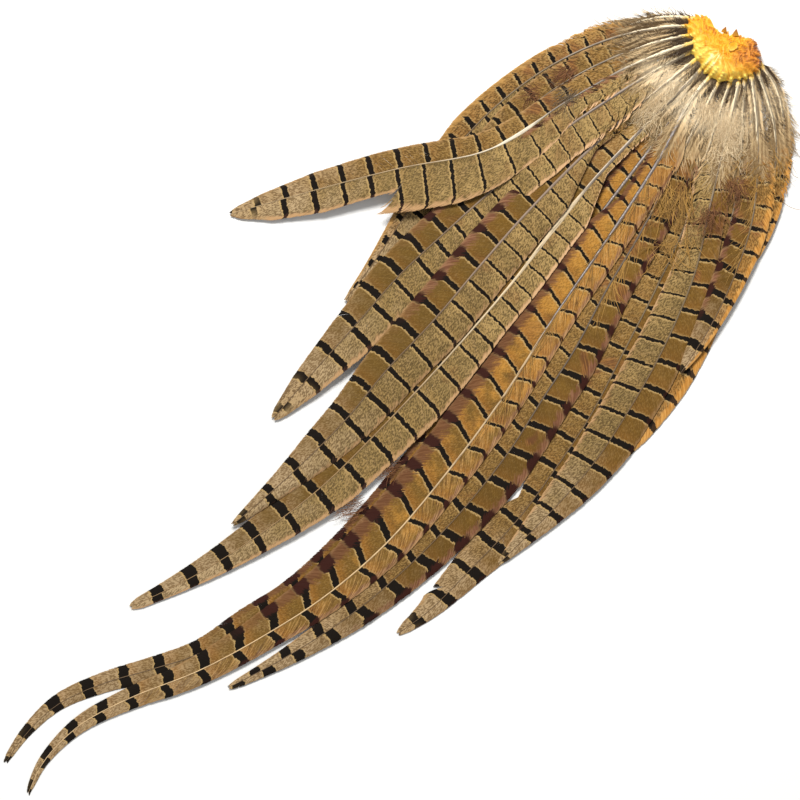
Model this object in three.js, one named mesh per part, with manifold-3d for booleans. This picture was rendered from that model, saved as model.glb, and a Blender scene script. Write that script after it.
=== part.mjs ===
// A cock pheasant's whole tail, dried and lying on its underside: barred tail
// feathers fanned from one pad of skin. Millimetres. The skin pad is at the
// origin, the tail runs along +X, the side feathers open to -Y and +Y, up is +Z.
import * as THREE from "three";
import Module from "manifold-3d";

const wasm = await Module();
wasm.setup();

// ---- driving dimensions -------------------------------------------------
const QUILL_RADIUS = 1.1; // bare quill at the skin
const SHAFT_TIP = 0.26; // half height of the shaft at a feather's tip
const VANE_HALF = 0.22; // half thickness of a vane
const VANE_EDGE = 0.12; // half thickness at the vane's rim
const BARE_QUILL = 14; // length of quill with no vane
const VANE_OPEN = 42; // further length over which the vane opens
const STATIONS = 20; // sections along one feather
const SOCKET_GAP = 0.3; // clearance between quill and skin
const SOCKET_REACH = 22; // length of the tool that cuts a socket
const PAD_BASE_INSET = 0.8; // rim of the pad's underside, drawn in
const PAD_RIM = 9.5; // height where the pad's side rolls over
const PAD_TOP = 12.4; // height of the pad's crown

// Height of the lowest layer's shaft over the table, and the step from one
// layer to the next, both against the distance from the origin.
const REST_HEIGHT = [[0, 3.0], [14, 3.0], [50, 1.25], [200, 0.95], [350, 0.66], [520, 0.45]];
const LAYER_STEP = [[0, 0.85], [14, 0.85], [26, 1.6], [50, 1.9], [200, 1.35], [350, 1.0], [520, 0.9]];

// Shares of a feather's length at which its two half widths are given.
const WIDTH_AT = [0.28, 0.42, 0.56, 0.7, 0.82, 0.92, 1];

const OLIVE = { color: 0x8b733e, roughness: 0.62, metalness: 0 };
const BUFF = { color: 0xa3916a, roughness: 0.7, metalness: 0 };
const GREY = { color: 0x8c7a60, roughness: 0.78, metalness: 0 };
const SKIN = { color: 0xe6a52c, roughness: 0.42, metalness: 0 };

// Each feather: layer, shaft points from root to tip, half widths of the vane
// on the -Y side (minus) and on the +Y side (plus) at WIDTH_AT, and where the
// tip begins to sink to the table (a share of the length; 1 keeps its layer).
const FEATHERS = [
  {
    name: "central_feather_1",
    layer: 0,
    sink: 1,
    shaft: [
      [8, 1], [25, 2], [48, 7], [91, 13], [151, 22], [209, 31], [260, 39], [309, 42],
      [345, 40], [370, 34], [397, 28], [421, 16], [441, 5], [465, -4], [486, -5], [505, -2],
    ],
    minus: [9, 9, 8.4, 8, 6.2, 5, 2],
    plus: [9, 9, 9, 8, 6.4, 3.2, 0.9],
    finish: OLIVE,
  },
  {
    name: "central_feather_2",
    layer: 2,
    sink: 0.62,
    shaft: [
      [8, 4], [28, 6], [62, 16], [109, 26], [152, 34], [202, 45], [251, 52], [293, 55],
      [333, 52], [366, 45], [403, 34], [438, 19], [465, 11], [490, 11], [508, 17],
    ],
    minus: [15, 18, 17, 12, 6, 4.4, 1.6],
    plus: [10, 11, 11, 7.8, 7, 3.6, 1],
    finish: OLIVE,
  },
  {
    name: "left_feather_1",
    layer: 3,
    sink: 0.7,
    shaft: [
      [6, -2], [21, -1], [56, -1], [91, 0], [122, 3], [152, 7], [182, 9.5], [215, 11.4],
      [261, 12.6], [297, 12], [340, 6], [374, -2], [406, -13],
    ],
    minus: [11, 12, 12, 11.5, 9, 5.8, 2.4],
    plus: [12.5, 13.5, 17.6, 15.2, 9, 4.6, 2.4],
    finish: BUFF,
  },
  {
    name: "left_feather_2",
    layer: 5,
    sink: 0.92,
    shaft: [
      [6, -6], [29, -8], [62, -10], [95, -12.6], [129, -12], [160, -10], [197, -7],
      [232, -6], [262, -3], [299, -3], [331, -5], [341, -6],
    ],
    minus: [13.5, 14.5, 15, 12, 9.5, 5, 1.4],
    plus: [13.5, 16, 17.2, 16, 11.4, 5.5, 1.5],
    finish: BUFF,
  },
  {
    name: "left_feather_3",
    layer: 4,
    sink: 0.8,
    shaft: [
      [5, -9], [28, -16], [62, -24], [95, -30], [131, -32.4], [162, -34], [193, -35],
      [225, -33], [261, -31], [289, -29],
    ],
    minus: [11, 12.5, 13, 12.2, 9.2, 6.2, 2.2],
    plus: [13, 15, 15, 15.4, 13.2, 8.4, 2.6],
    finish: BUFF,
  },
  {
    name: "left_feather_4",
    layer: 6,
    sink: 0.6,
    shaft: [
      [4, -12], [23, -21], [40, -28], [57, -33], [76, -38], [103, -43], [121.4, -49.6],
      [155.4, -72.6], [200, -99], [232, -117],
    ],
    minus: [8, 9, 10.4, 10, 8.6, 5.6, 1.8],
    plus: [9, 13, 20.4, 15, 11.5, 7.5, 2.2],
    finish: BUFF,
  },
  {
    name: "left_feather_5",
    layer: 1,
    sink: 1,
    shaft: [
      [-1, -17], [13, -30], [35, -44], [60, -54], [83, -59], [110, -61], [137, -59],
      [165, -55], [196, -49], [222, -45],
    ],
    minus: [8.4, 9, 10, 8, 4.8, 2.6, 1],
    plus: [10, 12, 12.5, 11.5, 8.5, 4.6, 1.2],
    finish: OLIVE,
  },
  {
    name: "left_feather_6",
    layer: 2,
    sink: 1,
    shaft: [[1, -14], [21, -27], [45, -38], [72, -46], [97, -49], [122, -49], [146, -45]],
    minus: [8, 9.5, 10, 9, 7, 4.4, 1.2],
    plus: [8, 9.5, 10, 9, 7, 4.4, 1.2],
    finish: GREY,
  },
  {
    name: "left_feather_7",
    layer: 0,
    sink: 1,
    shaft: [[-3, -20], [10, -34], [27, -44], [45, -52], [63, -57]],
    minus: [6.5, 6.5, 6.5, 5.5, 4.5, 3, 1],
    plus: [5, 6, 6.5, 6, 5, 3.4, 1],
    finish: GREY,
  },
  {
    name: "right_feather_1",
    layer: 1,
    sink: 0.86,
    shaft: [
      [8, 8], [26, 14], [42, 19], [67, 27], [96, 36], [124, 43], [157, 53], [185, 59],
      [217, 66], [251, 70], [288, 71], [328, 68], [367, 60], [400, 50],
    ],
    minus: [10, 11.5, 12, 10.5, 7.6, 4.4, 1.3],
    plus: [12, 14.5, 15, 12.2, 8.4, 4.6, 1.8],
    finish: OLIVE,
  },
  {
    name: "right_feather_2",
    layer: 0,
    sink: 1,
    shaft: [
      [7, 13], [19, 19], [40, 30], [67, 45], [106, 60], [140, 71], [175, 82], [204, 88],
      [237, 93], [272, 94], [300, 94], [321, 91],
    ],
    minus: [9.5, 11, 11.5, 11.5, 11, 7.4, 2],
    plus: [8, 9, 10, 10.5, 9.2, 5.2, 1.8],
    finish: BUFF,
  },
  {
    name: "right_feather_3",
    layer: 1,
    sink: 0.9,
    shaft: [
      [4, 16], [15, 23], [36, 36], [60, 51], [87, 68], [112, 79], [135, 87], [161, 94],
      [191, 100], [224, 102], [261, 102],
    ],
    minus: [10.5, 13, 14.5, 13.5, 10.5, 6, 1.2],
    plus: [9, 11, 12.4, 12.6, 9, 4.6, 1.2],
    finish: BUFF,
  },
  {
    name: "right_feather_4",
    layer: 0,
    sink: 1,
    shaft: [
      [1, 17], [11, 26], [32, 45], [58, 64], [91, 81], [123, 93], [150, 99], [181, 102],
      [207, 103],
    ],
    minus: [8, 9, 9, 8.5, 7, 4.5, 1.2],
    plus: [9.5, 10.8, 11.6, 11.6, 10, 7, 1.6],
    finish: OLIVE,
  },
  {
    name: "right_feather_5",
    layer: 2,
    sink: 1,
    shaft: [[-2, 18], [7, 30], [26, 51], [49, 70], [74, 83], [102, 93], [129, 99]],
    minus: [8, 10, 11, 10, 8, 5, 1.3],
    plus: [9, 9.4, 8, 6, 4.4, 3, 1],
    finish: OLIVE,
  },
  {
    name: "right_feather_6",
    layer: 1,
    sink: 1,
    shaft: [[-6, 18], [0, 31], [9, 46], [25, 62], [46, 76], [68, 86]],
    minus: [7, 8.5, 9, 8, 6.5, 4, 1],
    plus: [7.5, 8, 7.4, 6, 4.8, 3.4, 1],
    finish: GREY,
  },
  {
    name: "right_feather_7",
    layer: 0,
    sink: 1,
    shaft: [[-9, 17], [-7, 30], [1, 44], [14, 57], [33, 69]],
    minus: [4, 5, 5.5, 5, 4, 3, 0.9],
    plus: [5.5, 6.5, 6.5, 6, 5, 3.4, 1],
    finish: GREY,
  },
];

// Rim of the skin pad seen from above, anticlockwise, with its torn notches.
const PAD_RIM_LINE = [
  [13.4, 6.4], [11, 11], [5.3, 14.5], [1.1, 17.3], [-2.5, 18.7], [-7.1, 18.9], [-10.6, 17.7],
  [-14.1, 12.7], [-15.9, 7.4], [-13.4, 2.8], [-11.3, -2.1], [-8.4, -3.2], [-9.5, -5.3],
  [-6, -7.4], [-6, -13.1], [-7.8, -17.7], [-3.5, -23.4], [1, -23.6], [5.6, -20.2],
  [10, -14.5], [13.4, -9.2], [13.7, -4.2], [13.6, 1.1],
];

// ---- shared shape functions ----------------------------------------------
/** Straight-line value of a rising list of [place, value] pairs. */
function along(pairs, place) {
  if (place <= pairs[0][0]) return pairs[0][1];
  for (let i = 1; i < pairs.length; i += 1) {
    if (place <= pairs[i][0]) {
      const [a, va] = pairs[i - 1];
      const [b, vb] = pairs[i];
      return va + ((vb - va) * (place - a)) / (b - a);
    }
  }
  return pairs[pairs.length - 1][1];
}

/** Smooth step from 0 to 1 between two places. */
function ease(from, to, place) {
  const t = Math.min(1, Math.max(0, (place - from) / (to - from)));
  return t * t * (3 - 2 * t);
}

/** Height of a layer's middle surface at a point of the plan. */
function layerHeight(layer, x, y) {
  const reach = Math.hypot(x, y);
  return along(REST_HEIGHT, reach) + layer * along(LAYER_STEP, reach);
}

/** Closed mesh between rings of equal count, with a flat fan over each end. */
function loft(rings) {
  const count = rings[0].length;
  const points = rings.flat();
  const faces = [];
  for (let r = 0; r + 1 < rings.length; r += 1) {
    for (let i = 0; i < count; i += 1) {
      const a = r * count + i;
      const b = r * count + ((i + 1) % count);
      faces.push(a, b, a + count, b, b + count, a + count);
    }
  }
  for (const [ring, first] of [[0, true], [rings.length - 1, false]]) {
    const middle = rings[ring].reduce((sum, p) => sum.map((v, k) => v + p[k] / count), [0, 0, 0]);
    points.push(middle);
    for (let i = 0; i < count; i += 1) {
      const a = ring * count + i;
      const b = ring * count + ((i + 1) % count);
      faces.push(...(first ? [points.length - 1, b, a] : [points.length - 1, a, b]));
    }
  }
  return { points, faces };
}

function toGeometry({ points, faces }) {
  const geometry = new THREE.BufferGeometry();
  geometry.setAttribute("position", new THREE.Float32BufferAttribute(points.flat(), 3));
  geometry.setIndex(faces);
  geometry.computeVertexNormals();
  return geometry;
}

function toManifold({ points, faces }) {
  const mesh = new wasm.Mesh({
    numProp: 3,
    vertProperties: Float32Array.from(points.flat()),
    triVerts: Uint32Array.from(faces),
  });
  return new wasm.Manifold(mesh);
}

function fromManifold(solid) {
  const mesh = solid.getMesh();
  const geometry = new THREE.BufferGeometry();
  const stride = mesh.numProp;
  const positions = [];
  for (let i = 0; i < mesh.vertProperties.length; i += stride) {
    positions.push(...mesh.vertProperties.slice(i, i + 3));
  }
  geometry.setAttribute("position", new THREE.Float32BufferAttribute(positions, 3));
  geometry.setIndex(Array.from(mesh.triVerts));
  geometry.computeVertexNormals();
  return geometry;
}

// ---- feathers ---------------------------------------------------------------
/** Smooth shaft line in plan, through the listed points. */
function shaftCurve(feather) {
  const points = feather.shaft.map(([x, y]) => new THREE.Vector3(x, y, 0));
  const curve = new THREE.CatmullRomCurve3(points, false, "centripetal");
  curve.arcLengthDivisions = 600;
  return curve;
}

/** Half width of one vane at a share t of the feather's length. */
function vaneWidth(widths, t, length, quill) {
  const pairs = WIDTH_AT.map((place, i) => [place, widths[i]]);
  const open = ease(BARE_QUILL / length, (BARE_QUILL + VANE_OPEN) / length, t);
  return quill + 0.3 + Math.max(0, along(pairs, t) - quill - 0.3) * open;
}

/** Share of the length at station i: closer together at the root and the tip. */
function stationShare(i) {
  const u = i / (STATIONS - 1);
  return u - 0.11 * Math.sin(2 * Math.PI * u) * (1 - 0.25 * u);
}

/** One section: vane, shaft ridge above, vane, shaft keel below. */
function featherSection(feather, curve, length, t) {
  const here = curve.getPointAt(t);
  const ahead = curve.getTangentAt(t);
  const quill = THREE.MathUtils.lerp(QUILL_RADIUS, SHAFT_TIP, Math.pow(t, 0.8));
  const round = 1 - ease(BARE_QUILL / length, (BARE_QUILL + VANE_OPEN) / length, t);
  const ridge = THREE.MathUtils.lerp(VANE_HALF + 0.14, quill, round);
  const face = THREE.MathUtils.lerp(VANE_HALF, quill * 0.75, round);
  const rim = THREE.MathUtils.lerp(VANE_EDGE, quill * 0.4, round);
  const minus = vaneWidth(feather.minus, t, length, quill);
  const plus = vaneWidth(feather.plus, t, length, quill);
  const layer = feather.layer * (1 - ease(feather.sink, 1.08, t));
  const at = (side, lift) => {
    const x = here.x - ahead.y * side;
    const y = here.y + ahead.x * side;
    return [x, y, layerHeight(layer, x, y) + lift];
  };
  return [
    at(-minus, -rim),
    at(-quill * 0.75, -face),
    at(0, -quill),
    at(quill * 0.75, -face),
    at(plus, -rim),
    at(plus, rim),
    at(plus * 0.5 + quill * 0.4, face),
    at(quill * 0.7, face),
    at(0, ridge),
    at(-quill * 0.7, face),
    at(-minus * 0.5 - quill * 0.4, face),
    at(-minus, rim),
  ];
}

function buildFeather(feather) {
  const curve = shaftCurve(feather);
  const length = curve.getLength();
  const rings = [];
  for (let i = 0; i < STATIONS; i += 1) {
    rings.push(featherSection(feather, curve, length, stationShare(i)));
  }
  return toGeometry(loft(rings));
}

/** The tool that cuts a quill's socket in the pad: a plain eight-sided peg. */
function socketTool(feather) {
  const curve = shaftCurve(feather);
  const length = curve.getLength();
  const rings = [-SOCKET_GAP, 2, 6, 10, 14, 18, SOCKET_REACH].map((distance) => {
    const t = Math.max(0, distance) / length;
    const here = curve.getPointAt(t);
    const ahead = curve.getTangentAt(t);
    if (distance < 0) here.addScaledVector(ahead, distance);
    const radius = QUILL_RADIUS + SOCKET_GAP;
    const ring = [];
    for (let k = 0; k < 8; k += 1) {
      const angle = (2 * Math.PI * (k + 0.5)) / 8;
      const side = (radius + 0.45) * Math.cos(angle);
      const x = here.x - ahead.y * side;
      const y = here.y + ahead.x * side;
      ring.push([x, y, layerHeight(feather.layer, x, y) + (radius + 0.1) * Math.sin(angle)]);
    }
    return ring;
  });
  return toManifold(loft(rings));
}

// ---- skin pad ----------------------------------------------------------------
/** A ring of the pad: the rim line drawn in towards the middle, at one height. */
function padRing(inset, height, ripple) {
  return PAD_RIM_LINE.map(([x, y], i) => {
    const out = Math.hypot(x, y);
    const keep = 1 - inset / out;
    const lift = ripple * Math.sin(2.4 * i) * Math.cos(1.1 * i);
    return [x * keep, y * keep, height + lift];
  });
}

function buildPad() {
  const rings = [
    padRing(PAD_BASE_INSET, 0, 0),
    padRing(0, 2.2, 0),
    padRing(0.2, 7, 0),
    padRing(0.9, PAD_RIM, 0.35),
    padRing(3.6, 0.5 * (PAD_RIM + PAD_TOP), 0.5),
    padRing(6.2, PAD_TOP - 0.4, 0.3),
  ];
  let pad = toManifold(loft(rings));
  for (const feather of FEATHERS) {
    pad = wasm.Manifold.difference(pad, socketTool(feather));
  }
  return fromManifold(pad);
}

// ---- assembly ------------------------------------------------------------------
const group = new THREE.Group();
group.name = "pheasant_tail";

function addPiece(name, geometry, finish) {
  const mesh = new THREE.Mesh(geometry, new THREE.MeshStandardMaterial(finish));
  mesh.name = name;
  mesh.material.name = name;
  group.add(mesh);
}

addPiece("skin_pad", buildPad(), SKIN);
for (const feather of FEATHERS) {
  addPiece(feather.name, buildFeather(feather), feather.finish);
}

export default group;
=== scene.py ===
import logging
import math
from dataclasses import dataclass
from enum import Enum, IntEnum
from typing import Any

import bpy
import numpy as np
from mathutils import Matrix, Vector


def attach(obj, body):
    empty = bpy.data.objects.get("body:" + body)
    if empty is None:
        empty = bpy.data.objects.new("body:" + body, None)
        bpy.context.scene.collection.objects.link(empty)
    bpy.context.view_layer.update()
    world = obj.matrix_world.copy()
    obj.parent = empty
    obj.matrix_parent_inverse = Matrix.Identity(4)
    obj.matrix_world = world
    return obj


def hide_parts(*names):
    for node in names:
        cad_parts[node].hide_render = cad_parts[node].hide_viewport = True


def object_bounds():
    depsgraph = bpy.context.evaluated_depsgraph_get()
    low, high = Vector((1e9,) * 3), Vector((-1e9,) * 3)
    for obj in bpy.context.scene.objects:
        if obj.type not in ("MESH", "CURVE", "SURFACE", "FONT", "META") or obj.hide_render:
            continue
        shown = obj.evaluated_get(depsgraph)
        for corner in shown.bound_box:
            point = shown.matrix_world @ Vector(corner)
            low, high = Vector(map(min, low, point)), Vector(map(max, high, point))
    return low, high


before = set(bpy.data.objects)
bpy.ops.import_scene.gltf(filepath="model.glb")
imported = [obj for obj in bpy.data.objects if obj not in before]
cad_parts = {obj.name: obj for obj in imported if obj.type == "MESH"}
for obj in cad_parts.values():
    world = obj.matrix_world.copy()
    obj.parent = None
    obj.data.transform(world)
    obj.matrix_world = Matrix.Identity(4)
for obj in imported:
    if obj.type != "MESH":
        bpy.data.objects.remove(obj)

# A cock pheasant's dried tail, lying on a table. Lengths in the tables below
# are millimetres in the frame of the part; MM turns them into metres.
MM = 0.001
SEED = 1811
LOG = logging.getLogger("pheasant_tail")
CAD_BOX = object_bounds()

# Corners of the room that the dressed part may fill, in millimetres.
BOX_MARGIN = 0.05
BOX_LOW = np.asarray(CAD_BOX[0]) / MM + BOX_MARGIN
BOX_HIGH = np.asarray(CAD_BOX[1]) / MM - BOX_MARGIN

# Heights: the lowest layer's shaft over the table, and the step between two
# layers, both against the distance from the skin pad.
REST_HEIGHT = ((0, 3.0), (14, 3.0), (50, 1.25), (200, 0.95), (350, 0.66), (520, 0.45))
LAYER_STEP = ((0, 0.85), (14, 0.85), (26, 1.6), (50, 1.9), (200, 1.35), (350, 1.0), (520, 0.9))

# Shares of a feather's length at which the half widths of a vane are given.
WIDTH_AT = (0.28, 0.42, 0.56, 0.70, 0.82, 0.92, 1.0)

# Shaft: half thickness at the root and at the tip, bare length at the root,
# the length over which the vanes open after it, and the tip's rounding.
QUILL_RADIUS = 1.1
SHAFT_TIP = 0.26
BARE_QUILL = 14.0
VANE_OPEN = 42.0
TIP_ROUND = 7.0

# A raised feather rises from the bare quill's end to PERCH_UP, and comes down
# over the last PERCH_FALL of its perch. A feather that sinks would reach the
# table at SINK_END of its length.
PERCH_UP = 30.0
PERCH_FALL = 34.0
SINK_END = 1.08

# Barbs: distance between roots, half width of a ribbon, faces along it, the
# heights of its two edges and its ridge, the power by which it bends to the
# rim, how far a bar follows the barbs in the rim (0 to 1), and the vane's
# arch for each unit width.
BARB_PITCH = 0.56
BARB_HALF = 0.28
BARB_STEPS = 8
BARB_RIDGE = (-0.06, 0.06, -0.03)
BARB_BEND = 1.7
BAR_TRAIL = 0.3
VANE_ARCH = 0.042

# Loose barbs and strands: where the barbs near the base stop being wholly
# loose and where they are firm, points along a strand, and the half width of
# down and of tuft barbs.
LOOSE_TO = 30.0
FIRM_FROM = 78.0
STRAND_POINTS = 7
STRAND_HALF = 0.19

# Bars from one given bar to the next, the span over which their spacing is
# evened, the share of the length over which they give way to a feather's tip,
# and the distance between two feathers in their noise.
BARS_APART = 4.0
EVEN_SPAN = 33
TIP_BLEND = 0.08
SERIAL_STEP = 7

# The skin pad's rim seen from above, anticlockwise.
PAD_RIM = (
    (13.4, 6.4), (11, 11), (5.3, 14.5), (1.1, 17.3), (-2.5, 18.7), (-7.1, 18.9), (-10.6, 17.7),
    (-14.1, 12.7), (-15.9, 7.4), (-13.4, 2.8), (-11.3, -2.1), (-8.4, -3.2), (-9.5, -5.3),
    (-6, -7.4), (-6, -13.1), (-7.8, -17.7), (-3.5, -23.4), (1, -23.6), (5.6, -20.2),
    (10, -14.5), (13.4, -9.2), (13.7, -4.2), (13.6, 1.1),
)

Array = np.ndarray
Colour = tuple[float, float, float]


class Coat(IntEnum):
    """Places of a feather's materials in its piece."""

    VANE = 0
    SHAFT = 1
    DOWN = 2
    BARBS = 3
    FLUFF = 4
    DUSKY = 5
    MAROON = 6


def along(pairs: tuple, place: Array) -> Array:
    """Straight-line value of a rising tuple of (place, value) pairs.

    Args:
        pairs: The known places and their values.
        place: Where the value is wanted.

    Returns:
        The value at each place.
    """
    known = np.asarray(pairs, float)
    return np.interp(place, known[:, 0], known[:, 1])


def ease(start: float, end: float, place: Array) -> Array:
    """Smooth step, 3t^2 - 2t^3 of the share t of the way from start to end.

    Args:
        start: Where the step begins.
        end: Where the step ends.
        place: Where it is wanted.

    Returns:
        Values from 0 to 1.
    """
    share = np.clip((np.asarray(place, float) - start) / (end - start), 0.0, 1.0)
    return share * share * (3.0 - 2.0 * share)


def layer_height(layer: Array, x: Array, y: Array) -> Array:
    """Height of a layer's middle surface over the table at points of the plan.

    Args:
        layer: Layer number, 0 at the table.
        x: Distance along the tail.
        y: Distance across the tail.

    Returns:
        Height in millimetres.
    """
    reach = np.hypot(x, y)
    return along(REST_HEIGHT, reach) + layer * along(LAYER_STEP, reach)


def beyond_pad(x: Array, y: Array) -> Array:
    """How far plan points lie past the skin pad's rim, seen from its middle.

    Args:
        x: Distance along the tail.
        y: Distance across the tail.

    Returns:
        Distance in millimetres, below 0 over the pad.
    """
    rim = np.asarray(PAD_RIM, float)
    angle = np.arctan2(rim[:, 1], rim[:, 0])
    order = np.argsort(angle)
    reach = np.hypot(rim[:, 0], rim[:, 1])[order]
    return np.hypot(x, y) - np.interp(np.arctan2(y, x), angle[order], reach, period=2.0 * math.pi)


def crumple(x: Array, y: Array, rng: np.random.Generator, wave: float, octaves: int) -> Array:
    """Creased relief, about -1 to 1.

    Each octave bends the plan and adds 1 - 2|sin| of a turned line, 0.75
    times as high and 1.6 times as fine as the one before.

    Args:
        x: Plan coordinate.
        y: Plan coordinate.
        rng: Source of the directions and phases.
        wave: Distance between the largest creases.
        octaves: How many octaves.

    Returns:
        The relief at each point.
    """
    total = np.zeros_like(x)
    for octave in range(octaves):
        turn = math.pi * 1.6**octave / wave
        angle, phase = 2.4 * octave + rng.uniform(-0.4, 0.4), rng.uniform(0.0, 2.0 * math.pi)
        bend_x = 1.1 / turn * np.sin(0.8 * turn * y + phase)
        bend_y = 1.1 / turn * np.sin(0.7 * turn * x - phase)
        x, y = x + bend_x, y + bend_y
        line = turn * (math.cos(angle) * x + math.sin(angle) * y) + phase
        total = total + 0.75**octave * (1.0 - 2.0 * np.abs(np.sin(line)))
    return total / 1.9


def wander(place: Array, rng: np.random.Generator, wave: float) -> Array:
    """Smooth random line: the sum of five sines of falling height, about -1 to 1.

    Args:
        place: Distance along the line.
        rng: Source of the phases.
        wave: Longest wavelength.

    Returns:
        The line's value at each place.
    """
    total = np.zeros_like(np.asarray(place, float))
    for octave in range(5):
        phase = rng.uniform(0.0, 2.0 * math.pi)
        turn = 2.0 * math.pi * 1.83**octave / wave
        total = total + 0.72**octave * np.sin(turn * place + phase)
    return total / 2.2


# ---------------------------------------------------------------- meshes


@dataclass
class Patch:
    """Quads with named numbers on their vertices and one material number.

    Attributes:
        points: Vertices, one row each, in millimetres.
        quads: Four vertex numbers for each face.
        marks: Vertex attributes by name.
        material: Which of the piece's materials the faces take.
    """

    points: Array
    quads: Array
    marks: dict[str, Array]
    material: int


def strip_quads(strips: int, across: int, steps: int) -> Array:
    """Faces of many equal grids laid out one after another.

    Each grid has across columns of points at each of steps rows, numbered
    column first, and a face joins each square of four neighbours.

    Args:
        strips: How many grids.
        across: Points across one grid.
        steps: Points along one grid.

    Returns:
        Vertex numbers of the faces.
    """
    row = np.arange(steps - 1)[:, None] * across
    cell = (row + np.arange(across - 1)[None, :]).reshape(-1)
    square = np.stack([cell, cell + 1, cell + 1 + across, cell + across], axis=1)
    first = np.arange(strips)[:, None, None] * (across * steps)
    return (first + square[None]).reshape(-1, 4)


def tube_quads(sides: int, rings: int) -> Array:
    """Faces between the rings of a closed tube, facing out for rising rings.

    Args:
        sides: Points in a ring, anticlockwise round the tube's direction.
        rings: How many rings.

    Returns:
        Vertex numbers of the faces.
    """
    ring = np.arange(rings - 1)[:, None] * sides
    side = np.arange(sides)[None, :]
    a = (ring + side).reshape(-1)
    b = (ring + (side + 1) % sides).reshape(-1)
    return np.stack([a, b, b + sides, a + sides], axis=1)


def make_piece(name: str, patches: list[Patch], materials: list[bpy.types.Material]) -> bpy.types.Object:
    """Join patches into one mesh object at the origin.

    Args:
        name: The object's name.
        patches: The surfaces to join.
        materials: The piece's materials, in the order of the patches' numbers.

    Returns:
        The finished object, linked to the scene.
    """
    counts = [len(patch.points) for patch in patches]
    starts = np.concatenate([[0], np.cumsum(counts)[:-1]]).astype(int)
    points = np.concatenate([patch.points for patch in patches]) * MM
    quads = np.concatenate([patch.quads + start for patch, start in zip(patches, starts)])
    slots = np.concatenate([np.full(len(patch.quads), patch.material) for patch in patches])
    mesh = bpy.data.meshes.new(name)
    mesh.vertices.add(len(points))
    mesh.vertices.foreach_set("co", points.astype(np.float32).reshape(-1))
    mesh.loops.add(quads.size)
    mesh.loops.foreach_set("vertex_index", quads.astype(np.int32).reshape(-1))
    mesh.polygons.add(len(quads))
    mesh.polygons.foreach_set("loop_start", np.arange(0, quads.size, 4, dtype=np.int32))
    mesh.polygons.foreach_set("material_index", slots.astype(np.int32))
    mesh.polygons.foreach_set("use_smooth", np.ones(len(quads), bool))
    names = sorted({key for patch in patches for key in patch.marks})
    for key in names:
        values = np.concatenate(
            [patch.marks.get(key, np.zeros(count)) for patch, count in zip(patches, counts)]
        )
        layer = mesh.attributes.new(key, "FLOAT", "POINT")
        layer.data.foreach_set("value", values.astype(np.float32))
    mesh.update(calc_edges=True)
    mesh.validate()
    for material in materials:
        mesh.materials.append(material)
    piece = bpy.data.objects.new(name, mesh)
    bpy.context.collection.objects.link(piece)
    return piece


# ---------------------------------------------------------------- shading


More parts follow.
